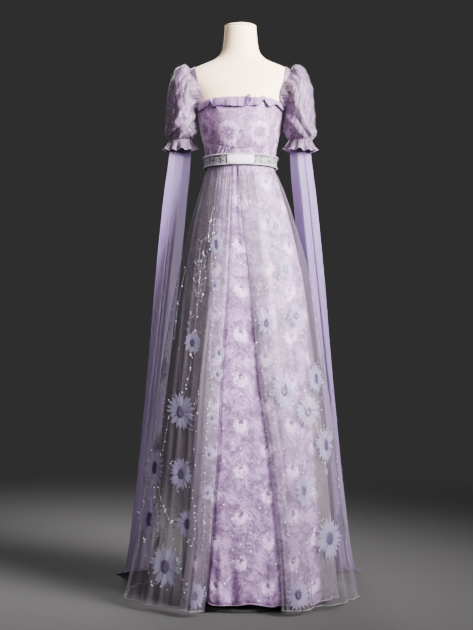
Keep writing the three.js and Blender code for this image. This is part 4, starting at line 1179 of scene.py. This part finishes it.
# embroidery on the overskirt
daisy = {"petals": 21, "width": 43, "height": 55, "heart": (11, 18), "lift": 2.5, "bridge": 7}
frontDaisies = [  # x, z, size, seen from the front
    (-129, 725, 0.62), (-162, 538, 0.95), (-235, 380, 0.95), (-160, 372, 0.8), (-249, 240, 1.05),
    (-142, 240, 0.8), (-203, 124, 1.05), (70, 779, 0.68), (116, 600, 0.95), (206, 626, 0.8),
    (182, 540, 0.85), (232, 446, 0.9), (240, 196, 1.0), (-121, 60, 0.7), (152, 62, 0.8), (-64, 986, 0.5),
    (122, 925, 0.6), (95, 1040, 0.55), (168, 330, 0.8), (150, 800, 0.6), (-57, 699, 0.4), (-76, 526, 0.4),
    (-61, 642, 0.38), (-65, 997, 0.45), (-68, 880, 0.36), (-88, 330, 0.4), (-84, 430, 0.34),
]
backDaisies = [  # angle, z, size
    (104, 200, 1.0), (112, 420, 0.9), (102, 640, 0.85), (120, 820, 0.7), (128, 130, 1.05), (136, 330, 0.95),
    (131, 560, 0.85), (146, 720, 0.75), (152, 210, 1.0), (160, 440, 0.9), (156, 900, 0.6), (168, 110, 0.95),
    (172, 610, 0.8), (141, 1000, 0.5),
]
sprays = [  # x, z along each line of beads, seen from the front, and the distance between the beads
    ([(-108, 1000), (-116, 960), (-106, 920), (-114, 880), (-104, 836)], 25),
    ([(-94, 1010), (-100, 960), (-95, 900), (-104, 850)], 31),
    ([(-72, 1060), (-78, 940), (-70, 820), (-82, 700), (-76, 600)], 16),
    ([(-86, 560), (-92, 440), (-96, 300), (-102, 180)], 14),
    ([(-101, 967), (-112, 900), (-117, 822), (-128, 730), (-139, 640), (-150, 600)], 19),
    ([(-150, 930), (-166, 860), (-176, 800), (-181, 735)], 27),
    ([(-75, 1090), (-84, 1040), (-88, 985), (-99, 930)], 22),
    ([(-112, 590), (-118, 520), (-126, 455), (-122, 400)], 24),
    ([(-132, 350), (-124, 300), (-120, 250), (-128, 190)], 13),
    ([(-196, 520), (-205, 470), (-213, 430)], 15),
    ([(-222, 330), (-214, 290), (-200, 262), (-186, 240)], 12),
    ([(-180, 196), (-172, 150), (-160, 110), (-150, 66)], 16),
    ([(-262, 180), (-255, 120), (-240, 70)], 21),
    ([(44, 1085), (52, 1010), (60, 950), (74, 880)], 21),
    ([(92, 990), (104, 900), (108, 840), (120, 760)], 24),
    ([(36, 760), (52, 700), (60, 640), (78, 590)], 20),
    ([(150, 720), (162, 660), (170, 600), (186, 585)], 18),
    ([(140, 560), (152, 500), (160, 450), (172, 400)], 22),
    ([(205, 500), (214, 470), (226, 408), (232, 370)], 17),
    ([(196, 330), (208, 280), (222, 250)], 14),
    ([(214, 165), (206, 120), (196, 86), (190, 60)], 12),
    ([(120, 250), (132, 190), (144, 140), (150, 96)], 18),
]
sprigs = [  # x, z along each sprig of small leaves, seen from the front
    [(-104, 1010), (-112, 960), (-106, 910), (-112, 860)],
    [(-96, 985), (-98, 930), (-108, 880), (-106, 836)], [(-118, 935), (-124, 890), (-120, 850)],
    [(-132, 800), (-140, 760), (-138, 715)], [(-118, 560), (-124, 520), (-132, 490)],
    [(118, 1000), (124, 970), (120, 940)], [(146, 760), (152, 730), (158, 700)], [(208, 560), (214, 530)],
]
backSprigs = [  # angle, z
    [(98, 960), (101, 900), (100, 840)], [(118, 620), (121, 560), (119, 500)],
    [(106, 330), (109, 280), (107, 230)], [(134, 820), (137, 760), (135, 700)],
    [(146, 560), (148, 500), (150, 450)], [(138, 260), (141, 210), (140, 160)],
    [(164, 820), (166, 760), (168, 700)], [(158, 340), (161, 290), (160, 240)],
]
backSprays = [  # angle, z along each line, and the distance between the beads
    ([(96, 900), (100, 800), (101, 700)], 24), ([(110, 560), (114, 480), (116, 350)], 22),
    ([(98, 400), (103, 320), (108, 240)], 18), ([(124, 700), (128, 640), (126, 500)], 22),
    ([(122, 260), (126, 200), (132, 80)], 18), ([(140, 480), (146, 400), (148, 290)], 20),
    ([(152, 640), (158, 560), (164, 500)], 20), ([(160, 330), (166, 240), (172, 160)], 18),
    ([(150, 1020), (154, 960), (162, 880)], 24), ([(170, 800), (174, 720), (170, 660)], 24),
]


def joined(name, meshes, material):  # grids of points, each open, in one piece
    places, faces, uvs = [], [], []
    for points, uv in meshes:
        faces += cells(points, len(places))
        places += points.reshape(-1, 3).tolist()
        uvs += uv.reshape(-1, 2).tolist()
    piece = newPiece(name, places, faces, np.array(uvs)[np.array(faces).ravel()])
    return finishPiece(piece, material)


def beadMesh(name, places, sizes):
    bpy.ops.mesh.primitive_ico_sphere_add(subdivisions=1, radius=1)
    one = bpy.context.object.data
    ball = np.array([vertex.co[:] for vertex in one.vertices])
    faces = np.array([face.vertices[:] for face in one.polygons])
    bpy.data.meshes.remove(one)
    points = np.array(places)[:, None] + ball[None] * np.array(sizes)[:, None, None]
    number = faces[None] + len(ball) * np.arange(len(places))[:, None, None]
    return finishPiece(newPiece(name, points, number.reshape(-1, 3).tolist()), beadGlass)


def frontAim(x, z):  # from well in front of the skirt, straight back
    return np.array([x, -600.0, z]), np.array([0.0, 1.0, 0.0])


def aroundAim(angle, z):  # from well outside the skirt towards its middle
    out = np.array([sind(angle), -cosd(angle), 0.0])
    return np.array([0, 0, z]) + out * 600, -out


def petalRing(surface, centre, normal, size, rng):
    up = unit(np.array([0, 0, 1]) - normal * normal[2])
    side = np.cross(up, normal)
    lean = rng.uniform(-0.2, 0.2)
    count = daisy["petals"] + rng.integers(-2, 3)
    t, w = np.linspace(0, 1, 7)[:, None], np.linspace(-1, 1, 5)[None]  # along a petal and across it
    made = []
    for k in range(count):
        turn = math.tau * (k + 0.25 * rng.uniform(-1, 1)) / count + lean
        reach = size * rng.uniform(0.86, 1.08)
        half = math.pi / count * 1.25
        spread = half * (0.6 + 0.4 * smooth(t, 0, 0.5)) * (1 - 0.88 * smooth(t, 0.6, 1.05))
        around = turn + w * spread
        far = lerp(0.2, 1.0, t) * reach * (1 - 0.06 * w**2)
        a, b = far * np.cos(around) * daisy["width"], far * np.sin(around) * daisy["height"]
        flat = centre + a[..., None] * side + b[..., None] * up
        lift = daisy["lift"] + 0.5 * (k % 2) + 0.7 * (1 - np.abs(w)) * np.sin(t * math.pi) + 0.6 * t
        depth = ((surface.settle(flat, -normal, 0.0) - flat) * normal).sum(-1)
        depth = np.clip(depth, np.median(depth) - daisy["bridge"], np.median(depth) + daisy["bridge"])
        uv = np.stack([w * 5 + 0 * t, t * 40 + 0 * w], -1)
        made.append((flat + normal * (depth + lift)[..., None], uv))
    turn, ring = np.meshgrid(np.linspace(math.tau, 0, 19), np.linspace(1, 0.06, 5))
    a, b = ring * np.cos(turn) * daisy["heart"][0] * size, ring * np.sin(turn) * daisy["heart"][1] * size
    laid = surface.settle(centre + a[..., None] * side + b[..., None] * up, -normal, 0.0)
    lift = 3.6 + 1.4 * (1 - ring**2) - 1.1 * (ring < 0.5)
    heart = (laid[::-1] + normal * lift[::-1, :, None], np.stack([turn[::-1] * 8, ring[::-1] * 12], -1))
    return made, heart


def leaf(surface, place, normal, turn, length):  # a narrow leaf on the cloth, pointing turn away from upright
    up = unit(np.array([0, 0, 1]) - normal * normal[2])
    side = np.cross(up, normal)
    t, w = np.linspace(0, 1, 5)[:, None, None], np.linspace(-1, 1, 3)[None, :, None]
    ahead = up * math.cos(turn) + side * math.sin(turn)
    across = side * math.cos(turn) - up * math.sin(turn)
    half = w * 1.3 * np.sin((0.1 + 0.85 * t) * math.pi)
    flat = place + t * length * ahead + (half + 0.2 * length * t**2) * across
    return surface.settle(flat, -normal, 1.5), np.concatenate([w * 2 + 0 * t, t * length + 0 * w], -1)


def through(places, spacing):  # a smooth line through the places, as points at that spacing
    knots = np.array(places, float)
    count = int(np.linalg.norm(np.diff(knots, axis=0), axis=1).sum() / spacing)
    return throughRows(knots, np.linspace(0, len(knots) - 1, max(count, 4)))


def withoutJumps(path):  # leaves out the points that stand off the line of their neighbours
    while len(path) > 4:
        off = np.linalg.norm(path[1:-1] - (path[:-2] + path[2:]) / 2, axis=1)
        if off.max() < 5:
            break
        path = np.delete(path, off.argmax() + 1, axis=0)
    return path


def bothSides(path):  # a line given by angle and height, and its mirror image
    return [np.array(path) * (sign, 1) for sign in (1, -1)]


def embroider(surface, calm):  # beads lie on the folded cloth, and the petals bridge its small folds
    rng = np.random.default_rng(404)
    petals, hearts, beads, stems, leaves = {}, {}, {}, {}, {}
    aims = [(frontAim(x, z), size) for x, z, size in frontDaisies]
    aims += [(aroundAim(sign * angle, z), size) for angle, z, size in backDaisies for sign in (1, -1)]
    for (start, aim), size in aims:
        found = calm.hit(start, aim)
        if found is None:
            continue
        place, normal, owner = found
        flatNormal = unit(0.6 * unit(normal * (1, 1, 0.3)) - 0.4 * aim)
        made, heart = petalRing(calm, place, flatNormal, size, rng)
        petals.setdefault(owner, []).extend(made)
        hearts.setdefault(owner, []).append(heart)
        side = np.cross([0, 0, 1], flatNormal)
        for _ in range(int(7 * size)):
            turn, far = rng.uniform(0, math.tau), rng.uniform(0.85, 1.15) * size
            across, up = far * math.cos(turn) * daisy["width"], far * math.sin(turn) * daisy["height"]
            seat = surface.settle(place + side * across + np.array([0, 0, up]), -flatNormal, 1.6)
            beads.setdefault(owner, []).append((seat, rng.uniform(1.0, 1.7)))
    lines = [(through(places, 1.35 * spacing), frontAim) for places, spacing in sprays]
    for places, spacing in backSprays:
        lines += [(line, aroundAim) for line in bothSides(through(places, spacing))]
    for line, aimAlong in lines:
        path = []
        for start, aim in (aimAlong(*place) for place in line):
            found = surface.hit(start, aim)
            if found is None:
                continue
            place, normal, owner = found
            path.append(place + normal * 0.5)
            cluster = 1 + rng.integers(0, 3) * (rng.uniform() < 0.35)
            for k in range(cluster):
                shift = np.array([rng.uniform(-3, 3), 0, 3.6 * k + rng.uniform(-1, 1)])
                seat = surface.settle(place + shift, aim, 1.2)
                beads.setdefault(owner, []).append((seat, rng.uniform(1.1, 1.9)))
        if len(path) > 3:
            stems.setdefault(owner, []).append(withoutJumps(np.array(path)))
    lines = [(path, frontAim) for path in sprigs]
    lines += [(line, aroundAim) for path in backSprigs for line in bothSides(path)]
    for path, aimAlong in lines:
        for along in through(path, 11):
            found = surface.hit(*aimAlong(*along))
            if found is None:
                continue
            place, normal, owner = found
            for sign in (1, -1):
                turn = sign * rng.uniform(0.1, 1.5)
                if rng.uniform() < 0.55:
                    made = leaf(surface, place, normal, turn, rng.uniform(7, 18))
                    leaves.setdefault(owner, []).append(made)
    pieces = {}
    for owner in petals:
        label = owner.replace("overskirt", "")
        pieces[owner] = [
            joined("daisies" + label, petals[owner], petalThread),
            joined("daisyHearts" + label, hearts[owner], heartThread),
        ]
        if owner in leaves:
            pieces[owner].append(joined("sprigs" + label, leaves[owner], sprigThread))
        if owner in beads:
            pieces[owner].append(beadMesh("beads" + label, *zip(*beads[owner])))
        for number, path in enumerate(stems.get(owner, [])):
            dense = throughRows(path, np.linspace(0, len(path) - 1, len(path) * 4))
            stem = tubeAlong(f"stem{label}{number + 1}", dense, 0.45, 5)
            pieces[owner].append(finishPiece(stem, petalThread))
    print("stage: embroidery made")
    return pieces


# back zip
zipTooth = {"low": 5, "top": 1364, "pitch": 2.1, "aside": 0.9, "size": (2.6, 1.3, 1.5), "edge": 0.3}


def makeZip():
    teeth = []
    for number, z in enumerate(np.arange(zipFoot + zipTooth["low"], zipTooth["top"], zipTooth["pitch"])):
        high = formPoint(np.array(180.0), np.array(z), np.array(3.2))[1]
        y = high if z >= waistLine(180) else underskirtAt(z)[..., 3] + 1.9
        x = zipTooth["aside"] * (1 if number % 2 else -1)
        bpy.ops.mesh.primitive_cube_add(size=1, location=(x * mm, float(y) * mm, z * mm))
        tooth = bpy.context.object
        tooth.scale = np.array(zipTooth["size"]) * mm
        teeth.append(tooth)
    bpy.ops.object.select_all(action="DESELECT")
    for tooth in teeth:
        tooth.select_set(True)
    bpy.context.view_layer.objects.active = teeth[0]
    bpy.ops.object.join()
    bpy.ops.object.transform_apply(location=True, rotation=True, scale=True)
    row = bpy.context.object
    row.name = "zipTeeth"
    bevel = row.modifiers.new("edges", "BEVEL")
    bevel.width, bevel.segments = zipTooth["edge"] * mm, 1
    applyAll(row)
    finishPiece(row, zipMetal)
    print("stage: zip made")


# skirts. Lines run from the waist to the hem: angle at the waist, angle at the hem, rise at the hem,
# and how much of the turn is done high up
skirtLines = {
    "overLeft": [
        (-90, -90, 0, 0), (-80, -77, 9, 0), (-70, -64, -5, 0.2), (-62, -52, 9, 0.5), (-56, -41, -6, 0.75),
        (-52, -32.5, -12, 0.9), (-49, -27.5, 8, 1), (-36, -24.5, 20, 1), (-23, -21, 19, 0.6),
        (-13.5, -17.8, 7, 0),
    ],
    "overRight": [
        (-2, 19.2, 5, 0.25), (5, 23, 17, 0.25), (13, 28, 24, 0.25), (20, 33, 17, 0.2), (27, 37, 0, 0.1),
        (40, 47, -1, 0), (54, 58, 8, 0), (66, 68, -4, 0), (78, 79, 8, 0), (90, 90, 0, 0),
    ],
    "overBack": [
        (90, 90, 0, 0), (104, 103, 10, 0), (119, 118, -6, 0), (134, 133, 12, 0), (150, 148, -6, 0),
        (165, 164, 12, 0), (180, 180, 0, 0),
    ],
    "underFront": [
        (-90, -90, 0, 0), (-68, -68, 5, 0), (-46, -46, -3, 0), (-24, -24, 4, 0), (-3, -2, -4, 0),
        (18, 17, 4, 0), (42, 38, -4, 0), (66, 64, 5, 0), (90, 90, 0, 0),
    ],
    "underBack": [(90, 90, 0, 0), (112, 112, 6, 0), (134, 134, -4, 0), (157, 156, 6, 0), (180, 180, 0, 0)],
}
over = {  # front and back are columns and rows
    "sections": overskirtSections, "at": overskirtAt, "hem": 18, "gap": 3.5, "seat": 0.6,
    "front": (226, 136), "back": (150, 120),
}
under = {
    "sections": underskirtSections, "at": underskirtAt, "hem": 32, "gap": 1.3, "seat": 0.6,
    "front": (176, 112), "back": (90, 110),
}
# seed, turned edge, where the pleat's layers begin and are full, how dense they are, and the least density
frontPanels = {"overLeft": (71, 1, (5.93, 6.1), 0.98, 0.0), "overRight": (77, -1, (4.12, 3.9), 0.46, 0.05)}
edgeFold = {"radius": 1.7, "share": 0.34}  # the bend, and how much of the cloth goes on under it
piping = {}  # a dark cord along each folded edge that paints the fold's shadow line, kept by turnedUnder
hemDip = 11  # how far the lace hem dips between its waves
# fine folds between the lines: place in lines, where it starts below the waist, width in lines, and rise
fineFolds = {
    "overLeft": [
        (0.35, 0.1, 0.16, 5), (0.72, 0.0, 0.12, -4), (1.3, 0.3, 0.14, -4), (1.62, 0.05, 0.16, 5),
        (2.3, 0.2, 0.12, 4), (2.6, 0.45, 0.14, -5), (3.25, 0.1, 0.15, -4), (3.7, 0.0, 0.12, 4),
        (4.4, 0.25, 0.16, 5), (4.75, 0.5, 0.12, -4), (5.4, 0.1, 0.2, 3), (6.5, 0.0, 0.2, 1.2),
        (7.3, 0.15, 0.25, 1.5), (8.3, 0.4, 0.2, -1),
    ],
    "overRight": [
        (0.55, 0.3, 0.16, 2.5), (1.4, 0.1, 0.18, -3), (2.3, 0.4, 0.16, 2.5), (3.4, 0.05, 0.2, -4),
        (4.3, 0.2, 0.14, 4), (4.7, 0.0, 0.16, -3.5), (5.3, 0.35, 0.14, 4), (5.75, 0.1, 0.12, -4),
        (6.4, 0.0, 0.14, 5), (6.8, 0.4, 0.12, -4), (7.35, 0.15, 0.14, 4), (7.7, 0.0, 0.13, -5),
        (8.3, 0.3, 0.14, 5), (8.66, 0.1, 0.12, -4),
    ],
    "overBack": [
        (0.3, 0.1, 0.14, 5), (0.7, 0.3, 0.12, -4), (1.35, 0.0, 0.14, -4), (1.66, 0.2, 0.12, 5),
        (2.3, 0.4, 0.12, 4), (2.7, 0.1, 0.14, -5), (3.3, 0.0, 0.14, -4), (3.62, 0.3, 0.12, 5),
        (4.35, 0.1, 0.13, 5), (4.7, 0.4, 0.12, -4), (5.3, 0.0, 0.14, -4), (5.7, 0.2, 0.12, 5),
    ],
    "underFront": [
        (0.5, 0.3, 0.2, 3), (1.5, 0.2, 0.2, -3), (2.6, 0.4, 0.25, 2.5), (3.4, 0.5, 0.25, -2.5),
        (4.5, 0.3, 0.25, 2.5), (5.5, 0.2, 0.2, -3), (6.5, 0.3, 0.2, 3), (7.4, 0.2, 0.2, -3),
    ],
    "underBack": [(0.4, 0.2, 0.2, 3), (1.4, 0.3, 0.2, -3), (2.5, 0.2, 0.2, 3), (3.4, 0.3, 0.2, -3)],
}


def lineAngle(waist, hem, early, down):
    return lerp(waist, hem, lerp(smooth(down, 0, 1), smooth(down, 0, 0.32), early))


def skirtPoint(skirt, lines, s, v, extra, back=False):
    waist, hem, rise, early = np.moveaxis(throughRows(skirtLines[lines], s), -1, 0)
    top = waistLine(waist)
    z = lerp(skirt["hem"], top, v)
    down = np.clip(1 - (z - skirt["hem"]) / (waistZ - skirt["hem"]), 0, 1)
    angle = lineAngle(waist, hem, early, down)
    if back:
        opening = lerp(0.2, halfOpening, smooth(z, zipFoot - 6, zipFoot + 1))
        angle = 90 + (angle - 90) * (90 - np.degrees(opening / skirt["at"](z)[..., 0])) / 90
    low = sectionPoint(skirt["at"], angle, z, rise * down**1.1 + extra)
    high = formPoint(angle, z, skirt["gap"] + extra)
    return lerp(low, high, smooth(z, 1184, waistZ)[..., None]), down


# the pleat stands above the cloth beside it: place in lines, which side is high, height at the hem, and how
# far the pleat's own edge leans out
pleatSteps = {"overLeft": [(6.0, 1, 9, 19)], "overRight": [(4.0, -1, 8, 0)]}


def foldField(lines, s, down):
    height = np.zeros(s.shape)
    for place, side, rise, lean in pleatSteps.get(lines, []):
        beyond = side * (s - place)
        step = smooth(beyond, -0.06, 0.05) - smooth(beyond, -1.4, -0.06)
        height += rise * step * smooth(down, 0.02, 0.6)
        height += lean * smooth(beyond, -0.06, 0.1) * np.clip(1 - beyond / 2.7, 0, 1) * smooth(down, 0.1, 0.6)
    for place, start, width, rise in fineFolds[lines]:
        wander = 0.06 * np.sin(down * 5 + place * 7)
        grown = smooth(down, start, start + 0.45) * (0.4 + 0.6 * down)
        height += rise * grown * np.exp(-(((s - place - wander) / (width * (1.3 - 0.5 * down))) ** 2))
    return height


def waistGathers(s, down, seed, rise):
    rng = np.random.default_rng(seed)
    height = np.zeros(s.shape)
    place = 0.1
    while place < s.max():
        length = rng.uniform(0.05, 0.24)
        tall, width = rise * rng.uniform(0.5, 1.2), rng.uniform(0.05, 0.09)
        ridge = np.exp(-(((s - place) / width) ** 2) - (down / length) ** 2)
        height += tall * ridge * smooth(down, -0.01, 0.03)
        place += rng.uniform(0.16, 0.34)
    return height


def hemFlutes(lines, s, down):  # small waves in the lowest part
    size = 4.5 if lines.startswith("under") else 2.0
    swing = np.sin(s * 5.1 + 0.7) + 0.7 * np.sin(s * 8.3 + 2.0) + 0.5 * np.sin(s * 13.0)
    return size * swing * smooth(down, 0.72, 1.02) ** 1.5


def besideEdges(points, down):  # the lace sinks beside the overskirt's right edge, and a little at its left
    sunk = 0
    edges = (  # the edge's line, how deep, where it is full, how far aside, width
        (skirtLines["overRight"][0], 13, 0.5, -9, 12), (skirtLines["overLeft"][-1], 3, 0.4, 2, 4),
    )
    for (waist, hem, _, early), depth, full, aside, width in edges:
        edge = sectionPoint(overskirtAt, lineAngle(waist, hem, early, down), points[..., 2])[..., 0]
        near = np.exp(-(((points[..., 0] - edge - aside) / width) ** 2))
        sunk = sunk - depth * smooth(down, 0.02, full) * near
    return sunk


def turnedUnder(lines, points, density, turned):  # a folded edge, and the cloth that goes on under it
    flip = slice(None, None, turned)
    normals = gridNormals(points)[:, flip]
    points, density = points[:, flip], density[:, flip]
    edge, aside = points[:, -1:], unit(points[:, -1:] - points[:, -2:-1])
    phi = np.linspace(0, math.pi, 7)[None, 1:, None]
    radius = edgeFold["radius"]
    bend = edge - normals[:, -1:] * radius * (1 - np.cos(phi)) + aside * radius * np.sin(phi)
    behind = slice(-2, -int(points.shape[1] * edgeFold["share"]) - 2, -2)
    hidden = (points - normals * 2 * radius)[:, behind]
    # the path of the dark cord beside the folded edge, a painted shadow line
    piping[lines] = edge[:, 0] + aside[:, 0] * (radius + 0.9) - normals[:, -1] * 0.6
    points = np.concatenate([points, bend, hidden], 1)
    density = np.concatenate([density, np.repeat(density[:, -1:], 6, 1), density[:, behind]], 1)
    return points[:, flip], density[:, flip]


def skirtGrid(skirt, lines, size, seed, turned=0, back=False, folds=1):
    # turned is +1 where the last line is a folded edge, and -1 where the first one is
    (columns, rows), count = size, len(skirtLines[lines])
    s = np.linspace(0, count - 1, columns)[None] * np.ones((rows, 1))
    v = (np.linspace(0, 1, rows) ** 0.92)[:, None] * np.ones((1, columns))
    points, down = skirtPoint(skirt, lines, s, v, skirt["seat"], back)
    steady = smooth(s, 0, 0.25) * smooth(count - 1 - s, 0, 0.25)
    rise = foldField(lines, s, down) + waistGathers(s, down, seed, 1.3) + hemFlutes(lines, s, down)
    normals = gridNormals(points)
    if lines == "underFront":
        rise = rise + besideEdges(points, down)
    points = points + normals * (folds * rise * steady)[..., None]
    if lines.startswith("under"):
        dip = 0.5 + 0.3 * np.sin(s * 4.3 + 1) + 0.2 * np.sin(s * 7.7)
        points[..., 2] -= hemDip * dip * smooth(down, 0.9, 1)
    slope = 1 - np.abs((gridNormals(points) * normals).sum(-1))
    density = np.clip(0.15 + 3.0 * slope + 0.5 * (1 - smooth(down, 0, 0.12)), 0, 1)
    if turned:
        points, density = turnedUnder(lines, points, density, turned)
    return points, density, s


def hemRoll(name, points, material, radius=1.1):
    return finishPiece(tubeAlong(name, points[0] + (0, 0, 0.3), radius, 6), material)


class Surface:  # something to embroider: rays find the cloth's outside
    def __init__(self, panels):
        self.owners, places, quads = [], [], []
        for name, points in panels:
            made = cells(points, len(places))
            places += points.reshape(-1, 3).tolist()
            quads += made
            self.owners += [name] * len(made)
        self.tree = BVHTree.FromPolygons(places, quads)

    def hit(self, start, direction):
        place, normal, index, _ = self.tree.ray_cast(Vector(start), Vector(direction))
        if place is None:
            return None
        normal = np.array(normal)
        return np.array(place), normal * -np.sign(normal @ np.array(direction)), self.owners[index]

    def settle(self, points, inward, lift):  # points near the cloth, moved along inward until they lie on it
        laid = []
        for point in points.reshape(-1, 3):
            found = self.hit(point - 45 * inward, inward)
            if found is None or np.linalg.norm(found[0] - point) > 40:
                place, normal, _, _ = self.tree.find_nearest(Vector(point))
                normal = np.array(normal)
                found = np.array(place), normal * -np.sign(normal @ inward)
            laid.append(found[0] + found[1] * lift)
        return np.array(laid).reshape(points.shape)


def backPanel(skirt, lines, seed, mirrored=False, folds=1):  # the mirrored one's section leans the other way
    sections = [(z, width, -shift, *others) for z, width, shift, *others in skirt["sections"]]
    leaning = {**skirt, "at": sampler(sections)} if mirrored else skirt
    points, density, _ = skirtGrid(leaning, lines, skirt["back"], seed, back=True, folds=folds)
    return (mirrorX(points), density[:, ::-1]) if mirrored else (points, density)


def frontPanel(lines, folds):
    seed, turned, (thin, full), layered, least = frontPanels[lines]
    points, density, s = skirtGrid(over, lines, over["front"], seed, turned=turned, folds=folds)
    beyond = points.shape[1] - s.shape[1]
    sides = (0, beyond) if turned > 0 else (beyond, 0)
    layers = np.pad(smooth(s, thin, full), ((0, 0), sides), mode="edge")
    return points, np.clip(density * 0.6 + layered * layers + least, 0, 1)


def makeUnderskirt():
    lace = [
        ("Front", "front", skirtGrid(under, "underFront", under["front"], 61)[0]),
        ("BackRight", "back_right", backPanel(under, "underBack", 67)[0]),
        ("BackLeft", "back_left", backPanel(under, "underBack", 68, True)[0]),
    ]
    for label, node, points in lace:
        piece = gridMesh("underskirt" + label, points, uv=clothUv(points, label == "Front"))
        thicken(piece, 0.9)
        finishPiece(piece, laceCloth, ["underskirt_" + node])
        hem = hemRoll("laceHem" + label, points, laceCord, 1.3)
        declareSheet(piece, points)
    print("stage: underskirt made")


def makeOverskirt():
    sheer = [
        ("FrontLeft", "front_left", lambda folds: frontPanel("overLeft", folds)),
        ("FrontRight", "front_right", lambda folds: frontPanel("overRight", folds)),
        ("BackRight", "back_right", lambda folds: backPanel(over, "overBack", 73, folds=folds)),
        ("BackLeft", "back_left", lambda folds: backPanel(over, "overBack", 79, True, folds)),
    ]
    calm = Surface([("overskirt" + label, make(0.3)[0]) for label, _, make in sheer])
    panels = [("overskirt" + label, "overskirt_" + node, *make(1)) for label, node, make in sheer]
    # dark cords that paint the shadow beside each folded edge, thinner low on the right
    for label, path in piping.items():
        path = path[::2]
        thinned = 0.9 * smooth(path[:, 2], 900, 560) if label == "overRight" else 0
        cord = tubeAlong("piping" + label.title(), path, 1.3 - thinned, 6)
        finishPiece(cord, pipingThread)
    embroidered = embroider(Surface([(name, points) for name, _, points, _ in panels]), calm)
    for name, node, points, density in panels:
        density[0:2] = np.maximum(density[0:2], 0.8)
        piece = gridMesh(name, points, density=density)
        finishPiece(piece, organza, [node])
        hem = hemRoll(name.replace("overskirt", "hem"), points, hemCloth)
        declareSheet(piece, points)
    print("stage: overskirt made")


makeForm()
makeBodice()
makeStraps()
makeRuffle()
makeSleeves()
makeFrills()
makeStreamers()
makeBelt()
makeUnderskirt()
makeOverskirt()
makeZip()
